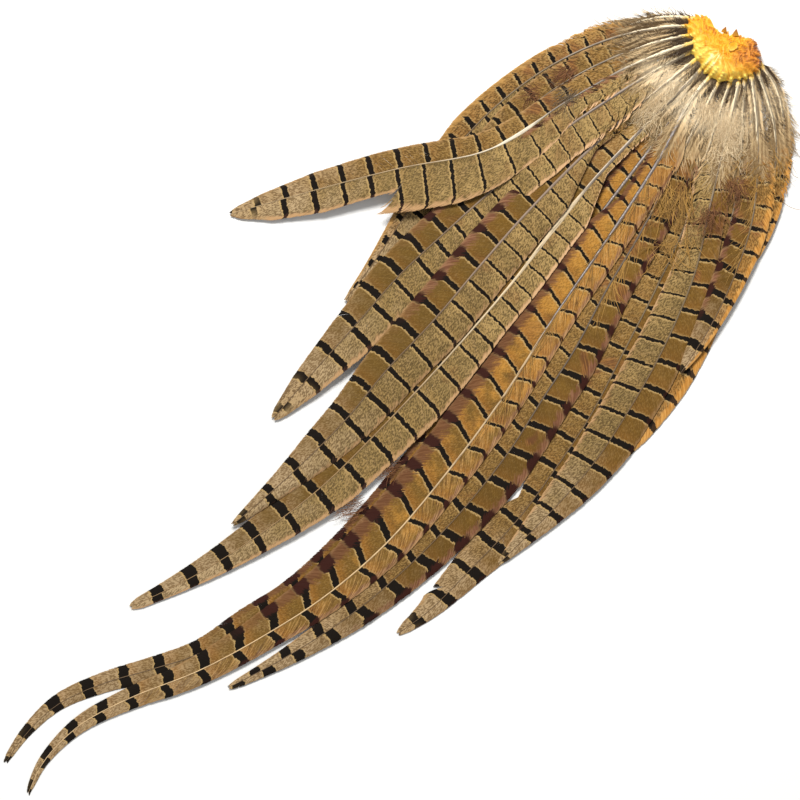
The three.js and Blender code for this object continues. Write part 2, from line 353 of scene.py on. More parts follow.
class Tree:
    """A material's node tree, with one way to add a node."""

    def __init__(self, name: str) -> None:
        """Start an empty material.

        Args:
            name: The material's name.
        """
        self.material = bpy.data.materials.new(name)
        self.material.use_nodes = True
        self.nodes = self.material.node_tree.nodes
        self.links = self.material.node_tree.links
        self.nodes.clear()

    def add(self, kind: str, settings: dict[str, Any] | None = None, **inputs: Any) -> bpy.types.Node:
        """Add a node: type first, then settings, then inputs.

        Args:
            kind: Node type, without the ShaderNode prefix.
            settings: Properties set before the inputs.
            **inputs: Numbers, colours or links of the sockets; spaces in names
                as underscores, and in0, in1 for sockets by number.

        Returns:
            The node.
        """
        node = self.nodes.new("ShaderNode" + kind)
        for key, value in (settings or {}).items():
            setattr(node, key, value)
        for key, value in inputs.items():
            by_number = key.startswith("in") and key[2:].isdigit()
            socket = node.inputs[int(key[2:])] if by_number else node.inputs[key.replace("_", " ")]
            if isinstance(value, Num):
                value = value.socket
            if isinstance(value, bpy.types.NodeSocket):
                self.links.new(value, socket)
            elif isinstance(value, tuple):
                socket.default_value = (*value, 1.0)
            else:
                socket.default_value = value
        return node

    def mark(self, name: str) -> "Num":
        """A number that the mesh carries on its vertices."""
        return Num(self, self.add("Attribute", {"attribute_name": name}).outputs["Fac"])

    def number(self, operation: str, *values: Any) -> "Num":
        """Add a Math node.

        Args:
            operation: The node's operation.
            *values: Numbers or links, in order.

        Returns:
            The node's result.
        """
        inputs = {f"in{i}": value for i, value in enumerate(values)}
        return Num(self, self.add("Math", {"operation": operation}, **inputs).outputs[0])

    def step(self, value: "Num", start: "float | Num", end: "float | Num") -> "Num":
        """Smooth step of a value from 0 at start to 1 at end.

        Args:
            value: What is stepped.
            start: Where the step begins.
            end: Where it ends.

        Returns:
            A number from 0 to 1.
        """
        smooth = {"interpolation_type": "SMOOTHSTEP"}
        return Num(self, self.add("MapRange", smooth, Value=value, From_Min=start, From_Max=end).outputs[0])

    def vector(self, x: Any, y: Any, z: Any) -> bpy.types.NodeSocket:
        """Join three numbers into a vector."""
        return self.add("CombineXYZ", None, X=x, Y=y, Z=z).outputs[0]

    def noise(self, place: Any, scale: float, detail: float = 2.0, rough: float = 0.5) -> "Num":
        """Noise at a place, about 0.3 to 0.7.

        Args:
            place: The vector that the noise reads.
            scale: Lumps to a unit.
            detail: Octaves.
            rough: Strength of the finer octaves.

        Returns:
            The noise value.
        """
        node = self.add("TexNoise", None, Vector=place, Scale=scale, Detail=detail, Roughness=rough)
        return Num(self, node.outputs[0])

    def mix(self, share: Any, first: Any, second: Any) -> bpy.types.NodeSocket:
        """Mix two colours.

        Args:
            share: 0 gives the first and 1 the second.
            first: A colour or a link.
            second: A colour or a link.

        Returns:
            The mixed colour.
        """
        return self.add("Mix", {"data_type": "RGBA"}, in0=share, in6=first, in7=second).outputs[2]

    def finish(self, colour: Any, rough: Any, normal: Any = None, **fixed: Any) -> bpy.types.Material:
        """Close the material with its surface shader.

        Args:
            colour: Base colour.
            rough: Roughness.
            normal: A bump's result.
            **fixed: Other sockets, each one constant.

        Returns:
            The material.
        """
        shader = self.add("BsdfPrincipled", None, Base_Color=colour, Roughness=rough, **fixed)
        if normal is not None:
            self.links.new(normal, shader.inputs["Normal"])
        self.add("OutputMaterial", None, Surface=shader.outputs[0])
        return self.material

    def bump(self, height: "Num", strength: float, distance: float) -> bpy.types.NodeSocket:
        """Tilt the surface by a height.

        Args:
            height: The relief, 0 to 1.
            strength: Share of the effect.
            distance: Height of the relief in metres.

        Returns:
            The tilted normal.
        """
        return self.add("Bump", None, Height=height, Strength=strength, Distance=distance).outputs[0]


class Num:
    """A number in a node tree, on which Python's operators add Math nodes."""

    def __init__(self, tree: Tree, socket: bpy.types.NodeSocket) -> None:
        """Wrap a socket.

        Args:
            tree: The tree that holds it.
            socket: The output that carries the number.
        """
        self.tree = tree
        self.socket = socket

    def __add__(self, other: Any) -> "Num":
        """Sum."""
        return self.tree.number("ADD", self, other)

    __radd__ = __add__

    def __sub__(self, other: Any) -> "Num":
        """Difference."""
        return self.tree.number("SUBTRACT", self, other)

    def __rsub__(self, other: Any) -> "Num":
        """Difference from a plain number."""
        return self.tree.number("SUBTRACT", other, self)

    def __mul__(self, other: Any) -> "Num":
        """Product."""
        return self.tree.number("MULTIPLY", self, other)

    __rmul__ = __mul__

    def __abs__(self) -> "Num":
        """Size without sign."""
        return self.tree.number("ABSOLUTE", self)

    def fract(self) -> "Num":
        """What is left over the whole number below."""
        return self.tree.number("FRACT", self)

    def least(self, other: Any) -> "Num":
        """The smaller of two."""
        return self.tree.number("MINIMUM", self, other)

    def most(self, other: Any) -> "Num":
        """The larger of two."""
        return self.tree.number("MAXIMUM", self, other)

    def clamp(self) -> "Num":
        """Held between 0 and 1."""
        return self.most(0.0).least(1.0)


@dataclass(frozen=True)
class VaneFinish:
    """Colours and markings of one vane.

    Attributes:
        ground: Main colour between the bars.
        second: Colour that the ground drifts to.
        warm: Colour that the ground turns to before the next bar.
        fleck: Colour of the fine dark scribble.
        scribble: How much scribble there is, 0 to 1.
        streak: How much single barbs differ, 0 to 1.
        pale: Colour of the thin edge of each bar.
        rim: Colour of the vane's outer part.
        fringe: Colour of the paler barbs in the rim.
        rim_from: Share of the width where the rim colour begins.
        rim_amount: Strength of the rim colour.
        rim_bar: Colour of a bar in the rim.
        rim_swell: How many times thicker a bar is in the rim.
        rim_ends: Share of the feather's length past which the rim colour fades.
        rust: Amount of the rusty patches toward the base.
        young: Amount of the pale gold near the base.
        edge: Colour of the outermost barb tips.
        edge_from: Share of the width where the edge colour begins.
        edge_amount: Strength of the edge colour.
    """

    ground: Colour
    second: Colour
    warm: Colour = (0.20, 0.092, 0.02)
    fleck: Colour = (0.085, 0.046, 0.014)
    scribble: float = 0.22
    streak: float = 0.2
    pale: Colour = (0.52, 0.35, 0.14)
    rim: Colour = (0.15, 0.066, 0.036)
    fringe: Colour = (0.30, 0.155, 0.085)
    rim_from: float = 0.74
    rim_amount: float = 0.9
    rim_bar: Colour = (0.042, 0.0125, 0.0085)
    rim_swell: float = 1.5
    rim_ends: float = 2.0
    rust: float = 0.75
    young: float = 0.0
    edge: Colour = (0.30, 0.19, 0.09)
    edge_from: float = 0.94
    edge_amount: float = 0.5


class Look(Enum):
    """The finishes that a vane can have."""

    GOLD = VaneFinish(
        (0.486, 0.234, 0.042), (0.2, 0.107, 0.022), warm=(0.356, 0.144, 0.024), scribble=0.36,
        rim=(0.124, 0.05, 0.022), fringe=(0.178, 0.08, 0.036), rim_from=0.54, rim_amount=0.95, rim_swell=2.3,
        rim_ends=0.64, rust=0.35, edge=(0.173, 0.08, 0.04),
    )
    STREAK = VaneFinish(
        (0.454, 0.219, 0.045), (0.205, 0.114, 0.026), warm=(0.367, 0.149, 0.03), fleck=(0.097, 0.045, 0.016),
        scribble=0.36, streak=1.0, rim=(0.162, 0.075, 0.042), fringe=(0.432, 0.239, 0.12), rim_from=0.72,
        rim_swell=1.8, rim_ends=0.68, rust=0.35, edge=(0.648, 0.378, 0.14),
    )
    OLIVE = VaneFinish(
        (0.178, 0.094, 0.017), (0.132, 0.069, 0.013), warm=(0.189, 0.082, 0.016), rim_swell=2.5,
        rim=(0.157, 0.062, 0.034), fringe=(0.27, 0.129, 0.07), rim_from=0.66, rim_amount=0.92, rim_ends=0.72,
    )
    FADED = VaneFinish(
        (0.178, 0.094, 0.017), (0.151, 0.084, 0.018), warm=(0.189, 0.084, 0.016), rim_swell=2.5,
        rim=(0.157, 0.062, 0.034), fringe=(0.27, 0.129, 0.07), rim_from=0.62, rim_amount=0.92, rim_ends=0.5,
        rust=0.3, young=0.85,
    )
    PLAIN = VaneFinish(
        (0.2, 0.103, 0.02), (0.167, 0.086, 0.016), warm=(0.216, 0.095, 0.018), scribble=0.3, rim_swell=1.2,
        rim=(0.227, 0.119, 0.05), fringe=(0.356, 0.199, 0.09), rim_from=0.8, rim_amount=0.5,
    )
    BUFF = VaneFinish(
        (0.364, 0.238, 0.088), (0.217, 0.143, 0.052), warm=(0.263, 0.156, 0.05), fleck=(0.096, 0.061, 0.023),
        scribble=0.8, rim=(0.41, 0.224, 0.1), fringe=(0.54, 0.298, 0.145), rim_from=0.84, rim_amount=0.7,
        rim_bar=(0.054, 0.03, 0.02), rim_swell=0.9, rust=0.25, edge=(0.713, 0.448, 0.24), edge_amount=0.85,
    )
    HEMMED = VaneFinish(
        (0.383, 0.253, 0.094), (0.237, 0.156, 0.056), warm=(0.282, 0.17, 0.054), fleck=(0.101, 0.066, 0.025),
        scribble=0.8, rim=(0.335, 0.169, 0.078), fringe=(0.464, 0.249, 0.12), rim_from=0.82, rim_amount=0.8,
        rim_bar=(0.065, 0.03, 0.02), rim_swell=0.8, rust=0.25, edge=(0.756, 0.468, 0.25), edge_from=0.885,
        edge_amount=1.0,
    )
    MOSS = VaneFinish(
        (0.308, 0.174, 0.05), (0.227, 0.127, 0.034), warm=(0.248, 0.119, 0.03), fleck=(0.086, 0.048, 0.016),
        scribble=0.7, rim=(0.292, 0.164, 0.06), fringe=(0.454, 0.269, 0.11), rim_from=0.84, rim_amount=0.6,
        rim_bar=(0.043, 0.025, 0.015), rim_swell=0.8, edge=(0.54, 0.338, 0.16),
    )
    GILT = VaneFinish(
        (0.389, 0.204, 0.052), (0.313, 0.154, 0.036), warm=(0.346, 0.149, 0.032), scribble=0.68,
        rim=(0.518, 0.224, 0.042), fringe=(0.713, 0.358, 0.09), rim_from=0.6, rim_amount=0.85,
        rim_bar=(0.054, 0.03, 0.015), rim_swell=0.7, edge=(0.734, 0.398, 0.11), edge_amount=0.8,
    )
    SELVAGE = VaneFinish(
        (0.356, 0.199, 0.062), (0.27, 0.139, 0.04), warm=(0.313, 0.144, 0.035), scribble=0.8,
        rim=(0.324, 0.169, 0.045), fringe=(0.54, 0.298, 0.09), rim_from=0.62, rim_amount=0.6,
        rim_bar=(0.076, 0.04, 0.015), rim_swell=0.0, edge=(0.713, 0.418, 0.14), edge_amount=0.8,
    )


BAR_BLACK: Colour = (0.010, 0.007, 0.005)
HEM_FAR: Colour = (0.44, 0.255, 0.11)
YOUNG_DARK: Colour = (0.30, 0.17, 0.05)
YOUNG_PALE: Colour = (0.58, 0.38, 0.15)
RUST: Colour = (0.13, 0.05, 0.022)
RUST_PALE: Colour = (0.30, 0.13, 0.04)
ASH_DARK: Colour = (0.25, 0.165, 0.085)
ASH_PALE: Colour = (0.54, 0.395, 0.23)
DOWN_PALE: Colour = (0.90, 0.67, 0.375)
DOWN_DARK: Colour = (0.14, 0.09, 0.046)
DOWN_MILK: Colour = (1.0, 0.84, 0.58)
DOWN_FAR: Colour = (0.36, 0.24, 0.115)
# Painted shadow colour of the down right next to the skin pad.
DOWN_PAD_SHADOW: Colour = (0.055, 0.037, 0.026)
TIP_DARK: Colour = (0.15, 0.09, 0.04)
TIP_PALE: Colour = (0.44, 0.30, 0.15)


def down_colour(tree: Tree, lot: Num) -> bpy.types.NodeSocket:
    """Down: pale and dark clumps drawn out along the quills, painted shade beside each quill, painted shadow
    at the skin.

    Args:
        tree: The material's tree.
        lot: The strand's own random number.

    Returns:
        The down's colour.
    """
    bare, murk, lateral = tree.mark("bare"), tree.mark("murk"), tree.mark("lateral")
    plan = tree.vector(tree.mark("run") * 0.05, lateral * 0.6, tree.mark("serial"))
    clump = tree.noise(plan, 1.0) - 0.5
    # Painted shade beside each quill, plus darker down towards the murky sides of the fan.
    shade = tree.step(abs(lateral), 2.6, 1.0) * 0.3 + murk * 0.42
    colour = tree.mix((lot * 0.5 + clump * 4.2 + 0.38 - shade).clamp(), DOWN_DARK, DOWN_PALE)
    milky = tree.step(bare + clump * 16.0, 8.0, 14.0) * tree.step(bare, 31.0, 20.0)
    colour = tree.mix(milky * (1.0 - murk) * 0.6, colour, DOWN_MILK)
    colour = tree.mix(tree.step(bare + clump * 20.0, 25.0, 37.0) * 0.6, colour, DOWN_FAR)
    # Painted shadow: the down darkens next to the skin pad, broken up by the clumps.
    pad_shadow = tree.step(bare + (lot - 0.5) * 4.0 + clump * 22.0, 11.0, 5.5)
    return tree.mix(pad_shadow * 0.85, colour, DOWN_PAD_SHADOW)


@dataclass(frozen=True)
class VaneShader:
    """Builds a feather's vane material from the finishes of its two sides.

    Attributes:
        name: The material's name.
        minus: The finish of the side towards -Y.
        plus: The finish of the side towards +Y.
    """

    name: str
    minus: VaneFinish
    plus: VaneFinish

    def side(self, tree: Tree, finish: VaneFinish) -> bpy.types.NodeSocket:
        """Colour of one side.

        The ground is drifted and scribbled in barb directions, turned by
        patches toward the base and the far end, and hemmed at the rim. The
        distance to the nearest bar, roughened by noise, gives the bar and its
        pale edge.

        Args:
            tree: The material's tree.
            finish: The side's colours and markings.

        Returns:
            The side's colour.
        """
        plan = tree.vector(tree.mark("run"), tree.mark("lateral"), tree.mark("serial"))
        root, reach, serial = tree.mark("root"), tree.mark("reach"), tree.mark("serial")
        across, share = abs(tree.mark("across")), tree.mark("share")
        spare, cloud = tree.mark("lot") - 0.5, tree.noise(plan, 0.35) - 0.5
        grain = tree.noise(tree.vector(root * 1.05, reach * 0.9, serial), 1.0, 1.5, 0.6)
        strand = tree.noise(tree.vector(root * 1.2, reach * 0.05, serial), 1.0, 2.0, 0.6)
        ground = self.ground(tree, finish, plan, cloud, grain, strand)

        rimmed = tree.step(across + cloud * 0.35 + spare * 0.14, finish.rim_from, finish.rim_from + 0.2)
        rimmed = rimmed * tree.step(share, finish.rim_ends + 0.16, finish.rim_ends)
        rim = tree.mix(tree.step(strand, 0.44, 0.58), finish.rim, finish.fringe)
        ground = tree.mix(rimmed * finish.rim_amount, ground, rim)
        worn = across + cloud * 0.14 + spare * 0.05
        hem = tree.step(worn, finish.edge_from - 0.04, finish.edge_from + 0.07)
        hem_colour = tree.mix(tree.step(share, 0.25, 0.6) * 0.7, finish.edge, HEM_FAR)
        ground = tree.mix(hem * finish.edge_amount, ground, hem_colour)
        tip = tree.mix(tree.step(grain + cloud * 0.7, 0.44, 0.54), TIP_DARK, TIP_PALE)
        ground = tree.mix(tree.step(tree.mark("end") + cloud * 1.6, 0.2, 0.9) * 0.75, ground, tip)

        ragged = tree.noise(plan, 0.55) - 0.5
        signed = ((tree.mark("bar") + 0.5).fract() - 0.5) * tree.mark("pitch") + ragged * 1.9
        blob = rimmed * (finish.rim_swell - 1.0)
        swollen = blob.most(0.0)
        gap = abs(signed) + spare * 0.3 + (grain - 0.5) * 0.4 + (strand - 0.5) * swollen * 1.6
        outside = gap - tree.mark("thick") * (1.0 + blob)
        halo = tree.step(outside, 1.1, 0.2) * (0.45 + 0.55 * tree.step(signed, -0.8, 0.6))
        soft = 0.2 + swollen
        dark = tree.step(outside, soft, soft * -0.6)
        bar = tree.mix(tree.step(rimmed, 0.1, 0.75) * finish.rim_amount, BAR_BLACK, finish.rim_bar)
        shown = tree.mark("inked")
        coloured = tree.mix(halo * shown * (1.0 - rimmed * 0.6) * 0.8, ground, finish.pale)
        return tree.mix(dark * shown, coloured, bar)

    @staticmethod
    def ground(
        tree: Tree, finish: VaneFinish, plan: bpy.types.NodeSocket, cloud: Num, grain: Num, strand: Num
    ) -> bpy.types.NodeSocket:
        """Colour between the bars, without rim and hem, with painted shade next to the shaft.

        Args:
            tree: The material's tree.
            finish: The side's colours and markings.
            plan: Place on the feather.
            cloud: Soft patches, about -0.2 to 0.2.
            grain: Fine noise, about as long along the barbs as across.
            strand: Noise drawn out along the barbs.

        Returns:
            The ground's colour.
        """
        share = tree.mark("share")
        drift = tree.noise(plan, 0.09, 3.0)
        faded = tree.step(drift + (share - 0.4) * 0.8, 0.38, 0.62)
        ground = tree.mix(faded, finish.ground, finish.second)
        ground = tree.mix(tree.step(tree.mark("bar").fract(), 0.4, 0.95) * 0.7, ground, finish.warm)
        ground = tree.mix(tree.step(strand, 0.53, 0.62) * finish.streak * 0.45, ground, finish.edge)
        ground = tree.mix(tree.step(strand, 0.45, 0.38) * finish.streak * 0.8, ground, finish.fleck)
        ground = tree.mix(tree.step(grain, 0.52, 0.64) * finish.scribble * 0.4, ground, finish.pale)
        inked = tree.step(grain + cloud * 0.35, 0.52, 0.43)
        ground = tree.mix(inked * finish.scribble, ground, finish.fleck)
        # Darker next to the shaft: painted shade where the vane meets the raised shaft.
        ground = tree.mix(tree.step(abs(tree.mark("across")), 0.13, 0.0) * 0.4, ground, finish.fleck)
        young = tree.mix(tree.step(grain, 0.45, 0.56), YOUNG_DARK, YOUNG_PALE)
        ground = tree.mix(tree.step(share, 0.24, 0.14) * finish.young, ground, young)
        rusty = tree.step(tree.noise(plan, 0.055) - share * 0.35, 0.42, 0.52)
        rust = tree.mix(tree.step(strand, 0.45, 0.56), RUST, RUST_PALE)
        ground = tree.mix(rusty * finish.rust, ground, rust)
        ashen = tree.step(share + (drift - 0.5) * 0.3, 0.68, 0.96)
        ash = tree.mix(tree.step(grain + cloud * 0.4, 0.45, 0.56), ASH_DARK, ASH_PALE)
        return tree.mix(ashen * 0.72, ground, ash)

    def build(self) -> bpy.types.Material:
        """Both sides, the downy base and the tip in one material.

        Returns:
            The vane's material.
        """
        tree = Tree(self.name)
        plus = tree.step(tree.mark("across"), -0.001, 0.001)
        colour = tree.mix(plus, self.side(tree, self.minus), self.side(tree, self.plus))
        lot = tree.mark("lot")
        colour = tree.mix(tree.mark("downy"), colour, down_colour(tree, lot))
        relief = tree.noise(tree.vector(tree.mark("root") * 1.3, tree.mark("reach") * 0.3, 0.0), 1.0)
        normal = tree.bump(relief, 0.35, 0.0002)
        return tree.finish(colour, 0.55 + 0.2 * lot, normal, Specular_IOR_Level=0.06)


@dataclass(frozen=True)
class ShaftShader:
    """Builds a shaft's material: cream quill, then two more colours and the tip's.

    Attributes:
        name: The material's name.
        quill: Colour at the skin.
        silver: Colour past the quill.
        middle: Colour in the first half.
        tip: Colour at the far end.
        turns: Distance from the root where the quill's colour ends.
        warms: Distance from the root where the silver ends.
        shade_band: Strength of the painted shade band along the +Y side.
        shade_band_at: Place of that band's inner edge, from -1 to 1 across the shaft.
        side_shadow: Strength of the painted shadow line along the -Y side.
        glint: Strength of the painted highlight specks on the silver stretch.
        streak: Colour of the lengthwise streaks.
        fleck: Colour of the painted highlight specks.
        shadow: Colour of the painted shade band.
        line: Colour of the painted shadow line.
        wax: Colour where the quill leaves the skin.
    """

    name: str
    quill: Colour = (1.0, 0.84, 0.56)
    silver: Colour = (0.29, 0.225, 0.15)
    middle: Colour = (0.20, 0.14, 0.07)
    tip: Colour = (0.17, 0.105, 0.05)
    turns: float = 26.0
    warms: float = 64.0
    shade_band: float = 0.7
    shade_band_at: float = -0.15
    side_shadow: float = 0.0
    glint: float = 0.0
    streak: Colour = (0.13, 0.09, 0.065)
    fleck: Colour = (0.78, 0.74, 0.72)
    shadow: Colour = (0.085, 0.058, 0.04)
    line: Colour = (0.05, 0.035, 0.022)
    wax: Colour = (1.0, 0.64, 0.12)

    def build(self) -> bpy.types.Material:
        """Colour by distance, lengthwise streaks, painted glints, a painted shade flank to +Y and shadow line
        to -Y.

        Returns:
            The shaft's material.
        """
        tree = Tree(self.name)
        run, flank = tree.mark("run"), tree.mark("flank")
        warmed = tree.step(run, self.warms, self.warms + 18.0)
        colour = tree.mix(tree.step(run, self.turns, self.turns + 22.0), self.quill, self.silver)
        colour = tree.mix(warmed, colour, self.middle)
        colour = tree.mix(tree.step(tree.mark("share"), 0.42, 0.62), colour, self.tip)
        grain = tree.noise(tree.vector(run * 0.16, flank * 2.0, self.turns), 1.0, 3.0)
        colour = tree.mix(tree.step(grain, 0.50, 0.62) * 0.55, colour, self.streak)
        # Painted highlights: pale specks over the silver stretch.
        specks = tree.noise(tree.vector(run * 0.9, flank * 2.5, self.warms), 1.0)
        keratin = tree.step(run, self.turns, self.turns + 20.0)
        keratin = keratin * tree.step(run, self.warms + 20.0, self.warms)
        colour = tree.mix(tree.step(specks, 0.56, 0.66) * keratin * self.glint, colour, self.fleck)
        side = flank + (grain - 0.5) * 0.6
        # Painted shade: a dark band along the +Y flank of the shaft.
        band = tree.step(side, self.shade_band_at - 0.3, self.shade_band_at + 0.3) * self.shade_band
        colour = tree.mix(band * (1.0 - 0.75 * warmed), colour, self.shadow)
        # Painted shadow: a dark line along the -Y edge of the silver stretch.
        colour = tree.mix(tree.step(side, -0.3, -0.7) * keratin * self.side_shadow, colour, self.line)
        waxy = tree.step(tree.mark("bare") + (grain - 0.5) * 7.0, 4.0, 0.5)
        return tree.finish(tree.mix(waxy * 0.8, colour, self.wax), 0.4, Specular_IOR_Level=0.35)


@dataclass(frozen=True)
class StrandShader:
    """Builds the material of loose strands: two colours mixed strand by strand.

    Attributes:
        name: The material's name.
        light: Colour of the palest strands.
        dark: Colour of the darkest strands.
        downy: Whether the strands share the down's clumps and soot.
    """

    name: str
    light: Colour
    dark: Colour
    downy: bool = False

    def build(self) -> bpy.types.Material:
        """Each strand takes its place between the two colours.

        Returns:
            The strands' material.
        """
        tree = Tree(self.name)
        lot = tree.mark("lot")
        fine = tree.noise(tree.vector(tree.mark("reach") * 0.5, lot * 90.0, 0.0), 1.0)
        colour = tree.mix((lot * 0.75 + fine * 0.5 - 0.12).clamp(), self.dark, self.light)
        if self.downy:
            colour = down_colour(tree, (lot * 0.8 + fine * 0.5 - 0.15).clamp())
        return tree.finish(colour, 0.85, Specular_IOR_Level=0.03)


STRANDS = (
    StrandShader("down", DOWN_PALE, DOWN_DARK, downy=True),
    StrandShader("loose_barbs", (0.50, 0.28, 0.075), (0.10, 0.055, 0.025)),
    StrandShader("fluff", (1.0, 0.82, 0.53), (0.34, 0.22, 0.11)),
    StrandShader("dusky_down", (0.26, 0.19, 0.12), (0.04, 0.03, 0.022)),
    StrandShader("maroon_barbs", (0.27, 0.125, 0.055), (0.06, 0.026, 0.017)),
)


# ---------------------------------------------------------------- feathers


def ribbon_edges(ahead: Array, aside: Array, turn: Array, half: Array) -> tuple[Array, Array]:
    """Two edges of flat ribbons, half to each side of their middle lines.

    An edge lies at (ahead + h sin(turn), aside - h cos(turn)) for h = -half
    and h = half.

    Args:
        ahead: First coordinate of the middle lines, a row for each.
        aside: Second coordinate.
        turn: Direction of the lines, in radians.
        half: Half width along a ribbon.

    Returns:
        The edges' two coordinates, with the edge as the last axis.
    """
    offset = np.stack([-half, half], axis=2) * np.ones((len(ahead), 1, 1))
    edge_ahead = ahead[:, :, None] + offset * np.sin(turn)[:, :, None]
    edge_aside = aside[:, :, None] - offset * np.cos(turn)[:, :, None]
    return edge_ahead, edge_aside


class ShaftLine:
    """Smooth line of a shaft in plan, read by distance from its root."""

    def __init__(self, points: tuple) -> None:
        """Centripetal Catmull-Rom line through points, as a fine table.

        Between two points the line is a Hermite cubic whose end slopes come
        from the neighbouring chords, weighted by the roots of their lengths.

        Args:
            points: Plan points from root to tip.
        """
        given = np.asarray(points, float)
        first = 2.0 * given[0] - given[1]
        last = 2.0 * given[-1] - given[-2]
        p = np.vstack([first, given, last])
        gap = np.sqrt(np.linalg.norm(np.diff(p, axis=0), axis=1))
        t = np.linspace(0.0, 1.0, 60, endpoint=False)[None, :, None]
        p0, p1, p2, p3 = (p[i : len(p) - 3 + i][:, None] for i in range(4))
        g0, g1, g2 = (gap[i : len(gap) - 2 + i][:, None, None] for i in range(3))
        m1 = ((p1 - p0) / g0 - (p2 - p0) / (g0 + g1) + (p2 - p1) / g1) * g1
        m2 = ((p2 - p1) / g1 - (p3 - p1) / (g1 + g2) + (p3 - p2) / g2) * g1
        line = (
            (2 * t**3 - 3 * t**2 + 1) * p1
            + (t**3 - 2 * t**2 + t) * m1
            + (3 * t**2 - 2 * t**3) * p2
            + (t**3 - t**2) * m2
        ).reshape(-1, 2)
        self.line = np.vstack([line, given[-1]])
        steps = np.linalg.norm(np.diff(self.line, axis=0), axis=1)
        self.run = np.concatenate([[0.0], np.cumsum(steps)])
        self.length = float(self.run[-1])
        heading = np.gradient(self.line, self.run, axis=0)
        self.heading = heading / np.linalg.norm(heading, axis=1)[:, None]

    def at(self, run: Array) -> tuple[Array, Array, Array, Array]:
        """Plan point and heading at distances from the root.

        Args:
            run: Distances.

        Returns:
            x, y and the two parts of the unit heading.
        """
        x, y, hx, hy = (
            np.interp(run, self.run, column)
            for column in (self.line[:, 0], self.line[:, 1], self.heading[:, 0], self.heading[:, 1])
        )
        return x, y, hx, hy


@dataclass
class Vane:
    """One side of a feather.

    Attributes:
        widths: Half widths at WIDTH_AT.
        look: The finish.
        bars: Distance along the shaft of every fourth bar (BARS_APART).
        thick: Half thickness of a bar at the base and at the tip.
        slant: How far a bar runs towards the tip for each unit outwards.
        lean: Cotangent of the barbs' angle to the shaft.
        splits: Gaps as (distance, depth of the opening, reach along the shaft).
        flap: Extra length of the barbs against the distance of their roots.
        fray: How far loose barbs stray from their line.
        droop: How far the rim hangs below the arch.
    """

    widths: tuple
    look: Look
    bars: tuple
    thick: tuple = (0.8, 1.5)
    slant: float = 0.0
    lean: float = 0.95
    splits: tuple = ()
    flap: tuple = ((0, 0), (1, 0))
    fray: float = 0.5
    droop: float = 0.22


@dataclass
class Barbs:
    """The barbs of one vane, with one value for each in every field.

    Attributes:
        root: Distance along the shaft where it starts.
        lean: Cotangent of its angle to the shaft.
        wide: Half width of the vane at its tip.
        span: How far it reaches outwards.
        loose: How loose it is, 0 to 1.
        swing: How far its tip strays along the shaft.
        rise: How far its tip strays up.
    """

    root: Array
    lean: Array
    wide: Array
    span: Array
    loose: Array
    swing: Array
    rise: Array

    def line(self, share: Array) -> tuple[Array, Array]:
        """Middle lines: out by span (1 - (1 - t)^BARB_BEND), forward by span lean t.

        Args:
            share: Share t of the way from root to tip.

        Returns:
            Distance from the shaft and distance along it, a row for each barb.
        """
        out = self.span[:, None] * (1.0 - (1.0 - share) ** BARB_BEND)
        run = self.root[:, None] + (self.span * self.lean)[:, None] * share
        return out, run


@dataclass
class Tuft:
    """Barbs that have come loose and lie over the tail.

    Attributes:
        start: Distance along the shaft where they begin.
        end: Distance where they end.
        side: -1 or 1.
        count: How many.
        length: Mean length.
        opening: Mean angle to the shaft, in degrees.
        lift: Height over the feather's own surface.
    """

    start: float
    end: float
    side: int
    count: int
    length: float
    opening: float = 24.0
    lift: float = 0.8


@dataclass
class Wisp:
    """Strands scattered round a point of the plan, all swept one way.

    Attributes:
        x: Place along the tail.
        y: Place across the tail.
        scatter: How far their starts lie from the point.
        heading: Mean direction, in degrees from the tail's length.
        spread: How far directions differ, in degrees.
        count: How many.
        length: Mean length.
        curl: How far a strand turns on its way, in degrees.
        coat: Their material.
        lift: Height over the feather's own surface.
        half: Half width of a strand.
    """

    x: float
    y: float
    scatter: float
    heading: float
    spread: float
    count: int
    length: float
    curl: float = 40.0
    coat: Coat = Coat.BARBS
    lift: float = 1.2
    half: float = 0.13


